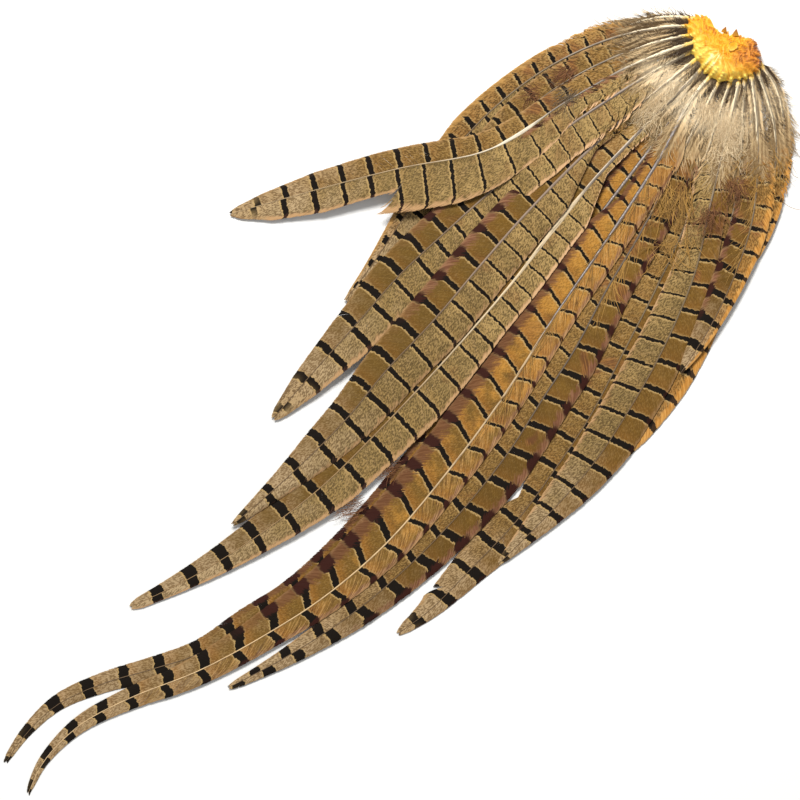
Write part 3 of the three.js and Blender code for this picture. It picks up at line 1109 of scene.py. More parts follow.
@dataclass
class Feather:
    """One feather: shaft, two vanes of separate barbs, down and loose barbs.

    Attributes:
        name: Node that it replaces.
        slot: Name of its material slot; not used.
        layer: Its layer in the stack.
        sink: Share of the length where its tip begins to sink to the table.
        shaft: Plan points from root to tip.
        minus: The vane on the -Y side.
        plus: The vane on the +Y side.
        down: Number of downy strands at the base.
        down_end: Distance along the shaft where the vanes' markings take over.
        tufts: Loose barbs.
        wisps: Stray strands over the feather.
        bulk: How many times wider than usual the shaft looks from above,
            against the distance from its root.
        tip_from: Share of the length where the bars give way to a mottled tip.
        perch: How many layers the first part of the feather is raised.
        perch_end: Distance along the shaft where that ends.
        shaft_finish: Colours of the shaft.
        serial: Its own number, which seeds what is random.
    """

    name: str
    slot: str
    layer: int
    sink: float
    shaft: tuple
    minus: Vane
    plus: Vane
    down: int = 900
    down_end: float = 38.0
    tufts: tuple = ()
    wisps: tuple = ()
    bulk: tuple = ((0, 1.3), (60, 1.3), (160, 1.1), (300, 1.0))
    tip_from: float = 0.93
    perch: float = 0.0
    perch_end: float = 96.0
    shaft_finish: ShaftShader = ShaftShader("shaft")
    serial: int = 0

    def __post_init__(self) -> None:
        """Work out the shaft line."""
        self.line = ShaftLine(self.shaft)

    def place(self, run: Array, side: Array, lift: Array) -> Array:
        """Turn feather coordinates into points of the part.

        The point is the shaft line's point at run, moved side along the line's
        left normal, at the layer's height plus lift.

        Args:
            run: Distance along the shaft.
            side: Distance to the left of the shaft.
            lift: Height over the layer's surface.

        Returns:
            Points, one row each.
        """
        run, side, lift = np.broadcast_arrays(run, side, lift)
        x, y, hx, hy = self.line.at(run)
        x, y = x - hy * side, y + hx * side
        layer = self.layer * (1.0 - ease(self.sink, SINK_END, run / self.line.length))
        lowered = ease(self.perch_end - PERCH_FALL, self.perch_end, run)
        layer = layer + self.perch * ease(BARE_QUILL, PERCH_UP, run) * (1.0 - lowered)
        z = layer_height(layer, x, y) + lift
        return np.stack([x, y, z], axis=-1).reshape(-1, 3)

    def quill(self, run: Array) -> Array:
        """Half thickness of the shaft: falls with the distance to the power 0.8."""
        share = np.clip(run / self.line.length, 0.0, 1.0)
        return QUILL_RADIUS + (SHAFT_TIP - QUILL_RADIUS) * share**0.8

    def width(self, vane: Vane, run: Array) -> Array:
        """Half width of a vane, opening from the bare quill.

        Over the last TIP_ROUND millimetres it closes like a quarter circle,
        by the root of 1 - u^2 of the share u gone.

        Args:
            vane: The side.
            run: Distance along the shaft.

        Returns:
            Width in millimetres.
        """
        length = self.line.length
        full = along(tuple(zip(WIDTH_AT, vane.widths)), run / length)
        thin = self.quill(run) * 0.8
        open_vane = thin + np.maximum(full - thin, 0.0) * ease(BARE_QUILL, BARE_QUILL + VANE_OPEN, run)
        gone = np.clip((run - (length - TIP_ROUND)) / TIP_ROUND, 0.0, 1.0)
        return open_vane * np.sqrt(1.0 - gone * gone)

    def grow(self, vane: Vane) -> Barbs:
        """Roots, reaches and straying of one vane's barbs.

        The reach is found by halving steps towards the width at the place
        along the shaft where the tip comes to lie. A split swings the barbs
        before it back and those behind it forward, by depth exp(-d / reach) of
        the distance d.

        Args:
            vane: The side's sizes.

        Returns:
            The barbs.
        """
        rng, length = self.rng, self.line.length
        count = int((length - BARE_QUILL - 3.0) / BARB_PITCH)
        root = np.linspace(BARE_QUILL, length - 2.2, count) + rng.uniform(-0.1, 0.1, count)
        lean = vane.lean + 0.9 * ease(0.72, 1.0, root / length)
        wide = self.width(vane, root)
        for _ in range(10):
            wide = 0.5 * (wide + self.width(vane, np.minimum(root + lean * wide, length)))
        wide = np.maximum(wide + along(vane.flap, root), 0.8)
        loose = 1.0 - ease(LOOSE_TO, FIRM_FROM, root)
        cut = 1.0 - 0.012 * vane.fray * np.abs(rng.normal(size=count))
        cut = cut - 0.02 * np.abs(wander(root, rng, 14.0)) - loose * rng.uniform(-0.12, 0.45, count)
        swing = vane.fray * (0.55 * wander(root, rng, 30.0) + 0.22 * rng.normal(size=count))
        swing = swing + loose * rng.normal(0.0, 2.2, count)
        for centre, depth, reach in vane.splits:
            off = root - centre
            swing = swing + depth * np.sign(off) * np.exp(-np.abs(off) / reach)
        rise = 0.10 * wander(root, rng, 40.0) + loose * rng.uniform(0.0, 0.9, count)
        return Barbs(root, lean, wide, wide * cut, loose, swing, rise)

    def vane_patch(self, vane: Vane, side: int) -> Patch:
        """One vane as separate roofed ribbons.

        A ribbon follows its barb's middle line, so its tip lies along the
        vane's rim. It has two low edges and a raised ridge, and narrows to its
        tip. The vane arches by sin(pi t), and barbs swing along the shaft and
        lift with t squared. Past the rim's start t' a barb reads its bar count
        at t' + (1 - BAR_TRAIL)(t - t'), so bars trail along the barbs.

        Args:
            vane: The side's sizes.
            side: -1 or 1.

        Returns:
            The vane's surface.
        """
        barbs, length = self.grow(vane), self.line.length
        count, corners = len(barbs.root), (BARB_STEPS + 1) * len(BARB_RIDGE)
        t = np.linspace(0.0, 1.0, BARB_STEPS + 1)[None, :]
        rim_at = 1.0 - (1.0 - vane.look.value.rim_from) ** (1.0 / BARB_BEND)
        out, run = barbs.line(t)
        held_out, held_run = barbs.line(t - BAR_TRAIL * np.maximum(t - rim_at, 0.0))
        d_out, d_run = np.gradient(out, axis=1), np.gradient(run, axis=1)
        size = np.hypot(d_out, d_run) + 1e-6
        half = BARB_HALF * (1.0 + 0.5 * barbs.loose[:, None]) * np.interp(t, [0, 0.75, 1], [1.0, 1.0, 0.3])
        offset = np.stack([-half, 0.0 * half, half], axis=2)
        ahead = offset * (d_out / size)[:, :, None]
        edge_run = run[:, :, None] + ahead
        edge_out = np.maximum(out[:, :, None] - offset * (d_run / size)[:, :, None], 0.0)
        share = np.broadcast_to(t[:, :, None], edge_run.shape)
        moved = edge_run + barbs.swing[:, None, None] * share**2
        ridge = np.array(BARB_RIDGE)[None, None, :] * (1.0 - 0.6 * share)
        lot = self.rng.uniform(size=count)
        arch = VANE_ARCH * barbs.wide[:, None, None] * np.sin(math.pi * share) - vane.droop * share**2
        lift = ridge + arch + barbs.rise[:, None, None] * share**2 + 0.05 * (lot[:, None, None] - 0.5) * share
        points = self.place(np.minimum(moved, length), side * edge_out, lift + 0.1)
        flat_run, flat_out = edge_run.reshape(-1), edge_out.reshape(-1)
        full = np.repeat(np.maximum(barbs.wide, 0.6), corners)
        counted = (held_run[:, :, None] + ahead).reshape(-1)
        marks = self.bar_marks(vane, counted, np.repeat(held_out.reshape(-1), len(BARB_RIDGE)))
        marks.update(
            end=ease(self.tip_from, self.tip_from + TIP_BLEND, flat_run / length),
            share=flat_run / length,
            run=flat_run,
            lateral=flat_out,
            across=side * np.clip(flat_out / full, 0.0, 1.0) + side * 0.002,
            root=np.repeat(barbs.root, corners),
            reach=flat_out * math.hypot(1.0, vane.lean),
            lot=np.repeat(lot, corners),
            serial=np.full(flat_run.size, float(self.serial * SERIAL_STEP + side)),
            downy=self.downy(flat_run, flat_out, full),
        )
        quads = strip_quads(count, len(BARB_RIDGE), BARB_STEPS + 1)
        return Patch(points, quads if side < 0 else quads[:, ::-1], marks, Coat.VANE)

    def downy(self, run: Array, out: Array, full: Array) -> Array:
        """How downy a point is: 1 near the skin, sooner over at the shaft.

        Args:
            run: Distance along the shaft.
            out: Distance from the shaft.
            full: Half width there.

        Returns:
            Values from 0 to 1.
        """
        edge = self.down_end + 10.0 * np.clip(out / full, 0.0, 1.0) + 5.0 * wander(run, self.rng, 12.0)
        return 1.0 - ease(-9.0, 9.0, run - edge)

    def bar_marks(self, vane: Vane, run: Array, out: Array) -> dict[str, Array]:
        """Bar count, spacing, half thickness and strength at each vertex.

        The count runs through whole numbers at the bars, is evened over
        EVEN_SPAN, and is read at the distance along the shaft less the slant
        times the distance outwards.

        Args:
            vane: The side.
            run: Distance along the shaft.
            out: Distance from the shaft.

        Returns:
            The four vertex attributes.
        """
        given = np.asarray(vane.bars, float)
        places = np.concatenate([[2.0 * given[0] - given[1]], given, [2.0 * given[-1] - given[-2]]])
        counts = BARS_APART * np.arange(-1, len(given) + 1)
        fine = np.arange(places[0], places[-1], 1.0)
        dense = np.pad(np.interp(fine, places, counts), EVEN_SPAN // 2, mode="reflect", reflect_type="odd")
        kernel = np.hanning(EVEN_SPAN)
        smooth = np.convolve(dense, kernel / kernel.sum(), "valid")
        read = run - vane.slant * out
        count = np.interp(read, fine, smooth)
        pitch = 1.0 / np.maximum(np.interp(read, fine, np.gradient(smooth, fine)), 0.02)
        share = run / self.line.length
        thick = vane.thick[0] + (vane.thick[1] - vane.thick[0]) * share**2
        thick = thick * (1.05 + 0.42 * ease(0.25, 0.75, share))
        thick = thick * ease(10.0, 80.0, run) * (0.85 + 0.15 * wander(run, self.rng, 23.0))
        middle = 1.0 - 0.75 * ease(0.0, 0.5, out / 9.0)
        faint = ease(self.tip_from + 0.02, self.tip_from + TIP_BLEND, share) * (1.0 - middle)
        inked = ease(34.0, 52.0, run) * (1.0 - faint)
        return {"bar": count, "pitch": pitch, "thick": thick, "inked": inked}

    def shaft_patch(self) -> Patch:
        """The shaft as a tapering tube, round at the quill and flat-backed after.

        Section: width c cos(a), height r sin(a), where the top is pressed down
        to a low ridge once the vanes have opened, and bulk widens it.

        Returns:
            The shaft's surface.
        """
        rings, sides = 110, 8
        run = self.line.length * np.linspace(0.0, 1.0, rings) ** 1.1
        angle = 2.0 * math.pi * (np.arange(sides) + 0.5) / sides
        quill = self.quill(run)[:, None]
        opened = ease(BARE_QUILL, BARE_QUILL + VANE_OPEN, run)[:, None]
        top = quill * (1.0 - opened) + (0.34 + 0.12 * quill) * opened
        bulk = along(self.bulk, run)[:, None]
        across = quill * bulk * (1.0 - 0.42 * opened) * np.cos(angle)[None, :]
        rise = np.where(np.sin(angle)[None, :] > 0, top, quill) * np.sin(angle)[None, :]
        close = np.ones(rings)
        close[0] = close[-1] = 0.02
        points = self.place(run[:, None], across * close[:, None], rise * close[:, None])
        flat = np.repeat(run, sides)
        marks = {
            "run": flat,
            "share": flat / self.line.length,
            "flank": np.tile(np.cos(angle), rings),
        }
        return Patch(points, tube_quads(sides, rings), marks, Coat.SHAFT)

    def strands(
        self, root: Array, side: Array, span: Array, angle: Array, lift: Array, coat: Coat
    ) -> Patch:
        """Curling flat strands that leave the shaft.

        Strand point at t: forward span cos(a) t plus a wave of sin(f t), and
        outward span sin(a) t, lifted by lift t (2 - t). The angle a bends
        evenly with t.

        Args:
            root: Distance along the shaft of each strand.
            side: Side of each strand, -1 or 1.
            span: Length of each.
            angle: Angle to the shaft of each, in radians.
            lift: Height of each at its tip.
            coat: Their material.

        Returns:
            The strands' surface.
        """
        rng, count = self.rng, len(root)
        t = np.linspace(0.0, 1.0, STRAND_POINTS)[None, :]
        bend = rng.normal(0.0, 0.22, count)[:, None]
        wave = rng.normal(0.0, 0.055, count)[:, None] * span[:, None]
        turn = angle[:, None] + bend * t
        ripple = wave * np.sin(t * rng.uniform(3.0, 8.0, count)[:, None])
        run = root[:, None] + span[:, None] * np.cos(turn) * t + ripple
        out = span[:, None] * np.sin(turn) * t + 0.3
        thin = STRAND_HALF * np.interp(t, [0, 0.5, 1], [1.0, 0.8, 0.2])
        edge_run, edge_out = ribbon_edges(run, out, turn, thin)
        rise = (lift[:, None] * t * (2.0 - t))[:, :, None] + 0.12
        points = self.place(np.minimum(edge_run, self.line.length), side[:, None, None] * edge_out, rise)
        lot = np.repeat(rng.uniform(size=count), STRAND_POINTS * 2)
        marks = {
            "lot": lot,
            "reach": np.repeat((span[:, None] * t).reshape(-1), 2),
            "run": np.repeat(run.reshape(-1), 2),
            "lateral": np.repeat((out * side[:, None]).reshape(-1), 2),
            "serial": np.full(lot.size, float(self.serial * SERIAL_STEP)),
        }
        return Patch(points, strip_quads(count, 2, STRAND_POINTS), marks, coat)

    def down_patch(self) -> Patch:
        """Soft strands at the base, in all directions between the quills."""
        rng, count = self.rng, self.down
        root = 1.0 + (self.down_end + 9.0) * rng.uniform(0.0, 1.0, count) ** 1.25
        side = rng.choice([-1.0, 1.0], count)
        span = rng.uniform(5.0, 13.0, count) * (0.6 + 0.4 * ease(8.0, 30.0, root))
        angle = rng.normal(0.42, 0.22, count)
        return self.strands(root, side, span, angle, rng.uniform(-0.5, 1.0, count), Coat.DOWN)

    def wisp_patch(self, wisp: Wisp) -> Patch:
        """Stray strands of one wisp.

        A strand starts near the wisp's point and goes on by its length times t
        in a direction that turns evenly by its curl, rising by t (2 - t).

        Args:
            wisp: The wisp's sizes.

        Returns:
            Their surface.
        """
        rng, count = self.rng, wisp.count
        t = np.linspace(0.0, 1.0, STRAND_POINTS)[None, :]
        start = rng.normal(0.0, wisp.scatter, (count, 2)) + np.array([wisp.x, wisp.y])
        heading = np.radians(wisp.heading + rng.normal(0.0, wisp.spread, count))[:, None]
        turn = heading + np.radians(rng.normal(0.0, wisp.curl, count))[:, None] * (t - 0.3)
        span = (wisp.length * rng.uniform(0.5, 1.3, count))[:, None] * t
        x = start[:, :1] + span * np.cos(turn)
        y = start[:, 1:] + span * np.sin(turn)
        thin = wisp.half * np.interp(t, [0, 0.5, 1], [0.8, 1.0, 0.25])
        edge_x, edge_y = ribbon_edges(x, y, turn, thin)
        rise = (wisp.lift * rng.uniform(0.3, 1.2, count)[:, None] * t * (2.0 - t))[:, :, None]
        edge_z = layer_height(self.layer, edge_x, edge_y) + rise
        points = np.stack([edge_x, edge_y, edge_z], axis=-1).reshape(-1, 3)
        marks = {
            "lot": np.repeat(rng.uniform(size=count), STRAND_POINTS * 2),
            "reach": np.repeat(span.reshape(-1), 2),
            "run": edge_x.reshape(-1),
            "lateral": edge_y.reshape(-1),
        }
        return Patch(points, strip_quads(count, 2, STRAND_POINTS), marks, wisp.coat)

    def tuft_patch(self, tuft: Tuft) -> Patch:
        """Loose barbs of one tuft.

        Args:
            tuft: The tuft's sizes.

        Returns:
            Their surface.
        """
        rng, count = self.rng, tuft.count
        root = rng.uniform(tuft.start, tuft.end, count)
        span = tuft.length * rng.uniform(0.6, 1.25, count)
        angle = np.radians(tuft.opening + rng.normal(0.0, 9.0, count))
        lift = tuft.lift * rng.uniform(0.5, 1.2, count)
        return self.strands(root, np.full(count, float(tuft.side)), span, angle, lift, Coat.BARBS)

    def build(self, serial: int) -> bpy.types.Object:
        """Build the feather and give it its materials.

        Args:
            serial: Its number, from 1.

        Returns:
            The feather's object.
        """
        self.serial, self.rng = serial, np.random.default_rng(SEED + serial)
        patches = [self.vane_patch(self.minus, -1), self.vane_patch(self.plus, 1)]
        patches += [self.shaft_patch(), self.down_patch()]
        patches += [self.tuft_patch(tuft) for tuft in self.tufts]
        patches += [self.wisp_patch(wisp) for wisp in self.wisps]
        for patch in patches:
            patch.points = np.clip(patch.points, BOX_LOW, BOX_HIGH)
            patch.marks["bare"] = beyond_pad(patch.points[:, 0], patch.points[:, 1])
            bearing = np.arctan2(patch.points[:, 1], patch.points[:, 0])
            patch.marks["murk"] = ease(0.35, 0.8, -bearing) + 0.75 * ease(0.8, 1.2, bearing)
        piece = make_piece(self.name + "_plumage", patches, self.dress())
        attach(piece, "root")
        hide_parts(self.name)
        return piece

    def dress(self) -> list[bpy.types.Material]:
        """The feather's materials, in the order of Coat."""
        vane = VaneShader(self.name + "_vane", self.minus.look.value, self.plus.look.value)
        return [finish.build() for finish in (vane, self.shaft_finish, *STRANDS)]


# Sizes of every feather: the two central ones, then each side of the fan from
# the inside outwards. Their order gives them their serial numbers.
FEATHERS = (
    Feather(
        "central_feather_1", "olive_vane", 0, 1.0,
        ((8, 1), (25, 2), (48, 7), (91, 13), (151, 22), (209, 31), (260, 39), (309, 42),
         (345, 40), (370, 34), (397, 28), (421, 16), (441, 5), (465, -4), (486, -5), (505, -2)),
        Vane((9, 9, 8.4, 8, 6.2, 5, 2), Look.GOLD, (59, 103, 155, 208, 267, 335, 415, 490), (0.9, 2.9),
             -0.25, fray=1.4),
        Vane((9, 9, 9, 8, 6.4, 3.2, 0.9), Look.OLIVE, (59, 103, 155, 208, 267, 335, 415, 490), (0.9, 2.8),
             -0.2),
        bulk=((0, 1.3), (50, 1.9), (90, 1.7), (130, 1.3), (300, 1.0)),
        perch=1.4,
        shaft_finish=ShaftShader(
            "shaft_pewter", silver=(0.40, 0.34, 0.31), turns=20.0, warms=100.0, shade_band=0.75,
            shade_band_at=0.1, side_shadow=0.95, glint=0.9,
        ),
    ),
    Feather(
        "central_feather_2", "olive_vane", 2, 0.62,
        ((8, 4), (28, 6), (62, 16), (109, 26), (152, 34), (202, 45), (251, 52), (293, 55),
         (333, 52), (366, 45), (403, 34), (438, 19), (465, 11), (490, 11), (508, 17)),
        Vane((15, 19.4, 18.2, 12, 6, 4.4, 1.6), Look.GOLD, (60, 104, 155, 209, 270, 340, 420, 491),
             (0.8, 2.9), -0.42, flap=((20, 0), (34, -9), (75, -8.5), (92, 0))),
        Vane((10, 11, 11, 7.8, 7, 3.6, 1), Look.STREAK, (57, 102, 158, 211, 273, 343, 423, 495),
             (0.55, 2.5), -0.36, lean=2.2, fray=0.9),
        tufts=(Tuft(60, 210, 1, 60, 22, 18, 0.7),),
        wisps=(
            Wisp(66, 33, 5.0, 42, 13, 110, 15.0, 24, Coat.BARBS, 0.8, 0.15),
            Wisp(78, 55, 4.0, 30, 30, 30, 13.0, 40),
            Wisp(90, 50, 4.0, 40, 30, 30, 13.0, 40),
            Wisp(24, 15, 2.6, 35, 14, 200, 9.0, 20, Coat.FLUFF, 1.2, 0.07),
            Wisp(262, 30, 3.2, -26, 12, 80, 8.0, 26, Coat.MAROON, 0.6, 0.12),
            Wisp(290, 31, 3.2, -26, 12, 70, 8.0, 26, Coat.MAROON, 0.6, 0.12),
        ),
        bulk=((0, 1.3), (50, 1.9), (110, 1.6), (170, 1.4), (300, 1.3)),
        shaft_finish=ShaftShader(
            "shaft_long", silver=(0.36, 0.31, 0.29), middle=(0.62, 0.45, 0.26), tip=(0.78, 0.55, 0.29),
            turns=20.0, warms=150.0, shade_band=0.75, shade_band_at=0.1, side_shadow=0.95, glint=0.9,
        ),
    ),
    Feather(
        "left_feather_1", "buff_vane", 3, 0.7,
        ((6, -2), (21, -1), (56, -1), (91, 0), (122, 3), (152, 7), (182, 9.5), (215, 11.4),
         (261, 12.6), (297, 12), (340, 6), (374, -2), (406, -13)),
        Vane((11, 12, 12, 11.5, 9, 5.8, 2.4), Look.FADED, (59, 102, 148, 204, 275, 350, 425), (0.9, 2.8)),
        Vane((12.5, 13.5, 17.6, 15.2, 9, 4.6, 2.4), Look.HEMMED, (61, 106, 149, 190, 254, 331, 408),
             (0.4, 2.3), 0.05, flap=((20, 0), (40, -8), (76, -9.5), (94, 0))),
        down_end=34.0,
        bulk=((0, 1.3), (50, 1.8), (92, 1.7), (112, 3.2), (135, 2.0), (170, 1.3), (400, 1.0)),
        tip_from=0.96,
        shaft_finish=ShaftShader(
            "shaft_gold", silver=(0.66, 0.56, 0.44), middle=(0.86, 0.68, 0.43), tip=(0.40, 0.25, 0.11),
            turns=20.0, warms=84.0, shade_band=0.8, shade_band_at=-0.4, glint=0.4,
        ),
    ),
    Feather(
        "left_feather_2", "buff_vane", 5, 0.92,
        ((6, -6), (29, -8.4), (62, -11.5), (95, -12.6), (129, -12), (160, -10), (197, -7),
         (232, -6), (262, -3), (299, -3), (331, -5), (341, -6)),
        Vane((13.5, 14.5, 15, 12, 9.5, 5, 1.4), Look.FADED, (51, 89, 141, 203, 274, 345), (1.1, 1.8), -0.05),
        Vane((12.9, 15.3, 16.8, 16, 11.4, 5.5, 1.5), Look.BUFF, (51, 92, 138, 191, 257, 330),
             (0.35, 1.9), 0.05, flap=((20, 0), (36, -8), (72, -10.5), (93, 0)), droop=1.9),
        wisps=(
            Wisp(66, -15, 3.0, -10, 40, 60, 8.0, 80, Coat.BARBS, 1.4, 0.16),
            Wisp(34, -10, 5.0, 5, 22, 300, 9.0, 35, Coat.FLUFF, 1.2, 0.07),
            Wisp(46, -5, 4.0, 0, 25, 160, 8.0, 40, Coat.FLUFF, 1.2, 0.07),
        ),
        down_end=34.0,
        bulk=((0, 1.3), (60, 1.7), (160, 1.5), (300, 1.2)),
        tip_from=0.92,
        shaft_finish=ShaftShader(
            "shaft_rose", silver=(0.30, 0.23, 0.18), middle=(0.32, 0.23, 0.165), warms=60.0,
        ),
    ),
    Feather(
        "left_feather_3", "buff_vane", 4, 0.8,
        ((5, -9), (28, -16), (62, -24), (95, -30), (131, -32.4), (162, -34), (193, -35),
         (225, -33), (261, -31), (289, -29)),
        Vane((11, 12.5, 13, 12.2, 9.2, 6.2, 2.2), Look.FADED, (47, 89, 144, 205, 280), (1.1, 1.8), -0.05),
        Vane((13, 15, 15, 15.4, 13.2, 8.4, 2.6), Look.HEMMED, (48, 86, 128, 178, 242, 312), (0.4, 1.8), 0.05,
             flap=((40, 0), (56, 1.6), (84, 1.6), (100, 0))),
        down_end=28.0,
        wisps=(Wisp(74, -21, 1.6, -14, 14, 80, 9.0, 40, Coat.MAROON, 1.5, 0.13),),
        perch=1.9,
        perch_end=136.0,
        bulk=((0, 1.3), (60, 1.6), (160, 1.4), (300, 1.1)),
        tip_from=0.88,
        shaft_finish=ShaftShader(
            "shaft_rose", silver=(0.30, 0.23, 0.18), middle=(0.30, 0.215, 0.15), warms=60.0,
        ),
    ),
    Feather(
        "left_feather_4", "buff_vane", 6, 0.6,
        ((4, -12), (23, -21), (40, -28), (57, -33), (76, -38), (103, -43), (121.4, -49.6),
         (155.4, -72.6), (200, -99), (232, -117)),
        Vane((8, 9, 10.4, 10, 8.6, 5.6, 1.8), Look.MOSS, (46, 97, 150, 208, 268), (0.9, 1.3), 0.0),
        Vane((9, 13, 12, 10.8, 12, 9, 2), Look.HEMMED, (46, 84, 139, 194, 256), (0.4, 1.4), 0.05, lean=1.2,
             flap=((60, 0), (77, 3.3), (91, 3.4), (113, 10), (136, 10.8), (158.5, 8.9), (159.5, 0))),
        down_end=28.0,
        wisps=(Wisp(66, -38, 2.4, -10, 16, 60, 13.0, 40, Coat.DUSKY, 0.9, 0.1),),
        bulk=((0, 1.3), (88, 1.1), (97, 2.4), (109, 2.5), (117, 1.1), (300, 0.9)),
        tip_from=0.89,
        shaft_finish=ShaftShader(
            "shaft_pale", silver=(0.26, 0.21, 0.16), middle=(0.86, 0.76, 0.58), tip=(0.46, 0.33, 0.18),
            warms=80.0, shade_band=0.3,
        ),
    ),
    Feather(
        "left_feather_5", "olive_vane", 1, 1.0,
        ((-1, -17), (13, -30), (35, -44), (60, -54), (83, -59), (110, -61), (137, -59),
         (165, -55), (196, -49), (222, -45)),
        Vane((8.4, 9, 10, 8, 4.8, 2.6, 1), Look.SELVAGE, (48, 85, 127, 172, 226), (0.9, 1.6), -0.1),
        Vane((10, 12, 12.5, 11.5, 8.5, 4.6, 1.2), Look.BUFF, (50, 88, 130, 178, 238), (0.6, 1.2), 0.1),
        down_end=26.0,
        wisps=(Wisp(14, -33, 2.5, -18, 10, 40, 12.0, 15, Coat.DUSKY, 0.6, 0.08),),
    ),
    Feather(
        "left_feather_6", "grey_vane", 2, 1.0,
        ((1, -14), (21, -27), (45, -38), (72, -46), (97, -49), (122, -49), (146, -45)),
        Vane((8, 9.5, 10, 9, 7, 4.4, 1.2), Look.MOSS, (46, 90, 132, 180), (0.7, 1.2), 0.0),
        Vane((8, 9.5, 10, 9, 7, 4.4, 1.2), Look.OLIVE, (46, 90, 132, 180), (0.7, 1.4), 0.0),
        down_end=28.0,
        wisps=(
            Wisp(24, -31, 3.0, -28, 10, 50, 12.0, 15, Coat.DUSKY, 0.6, 0.08),
            Wisp(57, -46, 1.5, -14, 11, 90, 15.0, 25, Coat.MAROON, 0.9, 0.13),
            Wisp(79, -51, 1.8, -18, 22, 80, 9.0, 40, Coat.MAROON, 0.9, 0.13),
        ),
    ),
    Feather(
        "left_feather_7", "grey_vane", 0, 1.0,
        ((-3, -20), (10, -34), (27, -44), (45, -52), (63, -57)),
        Vane((6.5, 6.5, 6.5, 5.5, 4.5, 3, 1), Look.GILT, (30, 62, 94), (0.6, 1.0), 0.0),
        Vane((5, 6, 6.5, 6, 5, 3.4, 1), Look.MOSS, (30, 62, 94), (0.6, 1.0), 0.0),
        down=200,
    ),
    Feather(
        "right_feather_1", "olive_vane", 1, 0.86,
        ((8, 8), (26, 14), (42, 19), (67, 27), (96, 36), (124, 43), (157, 53), (185, 59),
         (217, 66), (251, 70), (288, 71), (328, 68), (367, 60), (400, 50)),
        Vane((10, 11.5, 12, 10.5, 7.6, 4.4, 1.3), Look.MOSS, (54, 102, 160, 219, 289, 369, 440),
             (0.6, 2.5), -0.2),
        Vane((12, 14.5, 15, 12.2, 8.4, 4.6, 1.8), Look.OLIVE, (57, 103, 153, 215, 286, 364, 430),
             (1.1, 2.6), -0.22, lean=1.25, fray=1.0),
        tufts=(Tuft(60, 130, 1, 45, 18, 20, 0.7),),
        tip_from=0.95,
        shaft_finish=ShaftShader(
            "shaft_dark", silver=(0.42, 0.34, 0.27), middle=(0.14, 0.105, 0.075), warms=70.0,
        ),
    ),
    Feather(
        "right_feather_2", "buff_vane", 0, 1.0,
        ((7, 13), (19, 19), (40, 30), (67, 45), (106, 60), (140, 71), (175, 82), (204, 88),
         (237, 93), (272, 94), (300, 94), (321, 91)),
        Vane((9.5, 11, 11.5, 11.5, 11, 7.4, 2), Look.MOSS, (49, 93, 145, 197, 263, 336), (0.7, 1.8), 0.05,
             splits=((292, 3.5, 5.0),), flap=((213, 0), (219, -2.4), (231, -4.6), (236, 0))),
        Vane((8, 9, 10, 10.5, 9.2, 5.2, 1.8), Look.PLAIN, (48, 96, 146, 202, 262, 335), (0.9, 2.4), -0.1),
    ),
    Feather(
        "right_feather_3", "buff_vane", 1, 0.9,
        ((4, 16), (15, 23), (36, 36), (60, 51), (87, 68), (112, 79), (135, 87), (161, 94),
         (191, 100), (224, 102), (261, 102)),
        Vane((10.5, 13, 14.5, 13.5, 10.5, 6, 1.2), Look.BUFF, (49, 99, 150, 207, 270), (0.5, 1.2), 0.15),
        Vane((9, 11, 12.4, 12.6, 9, 4.6, 1.2), Look.PLAIN, (56, 104, 160, 224, 288), (0.9, 1.5), -0.15),
    ),
    Feather(
        "right_feather_4", "olive_vane", 0, 1.0,
        ((1, 17), (11, 26), (32, 45), (58, 64), (91, 81), (123, 93), (150, 99), (181, 102),
         (207, 103)),
        Vane((8, 9, 9, 8.5, 7, 4.5, 1.2), Look.MOSS, (57, 107, 166, 230), (0.8, 1.6), 0.1),
        Vane((9.5, 10.8, 11.6, 11.6, 10, 7, 1.6), Look.GILT, (50, 96, 150, 213, 280), (1.0, 2.0), -0.15),
    ),
    Feather(
        "right_feather_5", "olive_vane", 2, 1.0,
        ((-2, 18), (7, 30), (26, 51), (49, 70), (74, 83), (102, 93), (129, 99)),
        Vane((8, 10, 11, 10, 8, 5, 1.3), Look.OLIVE, (51, 100, 156, 214), (0.9, 1.8), -0.1),
        Vane((9, 9.4, 8, 6, 4.4, 3, 1), Look.GILT, (43, 89, 142, 200), (0.8, 1.6), -0.1),
        tufts=(Tuft(40, 100, -1, 40, 14, 24, 0.6),),
        wisps=(
            Wisp(28, 55, 7.0, 35, 25, 130, 13.0, 50),
            Wisp(42, 50, 2.4, 60, 24, 60, 11.0, 40, Coat.MAROON, 1.6, 0.13),
            Wisp(60, 52, 3.4, 36, 24, 60, 13.0, 40, Coat.MAROON, 1.6, 0.13),
            Wisp(22, 28, 4.0, 50, 25, 240, 8.0, 45, Coat.FLUFF, 1.2, 0.07),
            Wisp(31, 34, 5.0, 45, 30, 170, 8.0, 60, Coat.FLUFF, 1.2, 0.07),
        ),
    ),
    Feather(
        "right_feather_6", "grey_vane", 1, 1.0,
        ((-6, 18), (0, 31), (9, 46), (25, 62), (46, 76), (68, 86)),
        Vane((7, 8.5, 9, 8, 6.5, 4, 1), Look.MOSS, (44, 88, 132), (0.8, 1.3), 0.0),
        Vane((7.5, 8, 7.4, 6, 4.8, 3.4, 1), Look.GILT, (44, 88, 132), (0.7, 1.2), 0.0),
        down=600,
    ),
    Feather(
        "right_feather_7", "grey_vane", 0, 1.0,
        ((-9, 17), (-7, 30), (1, 44), (14, 57), (33, 69)),
        Vane((4, 5, 5.5, 5, 4, 3, 0.9), Look.MOSS, (30, 62, 94), (0.5, 1.0), 0.0),
        Vane((5.5, 6.5, 6.5, 6, 5, 3.4, 1), Look.GILT, (30, 62, 94), (0.5, 1.0), 0.0),
        down=600,
    ),
)


# ---------------------------------------------------------------- skin pad


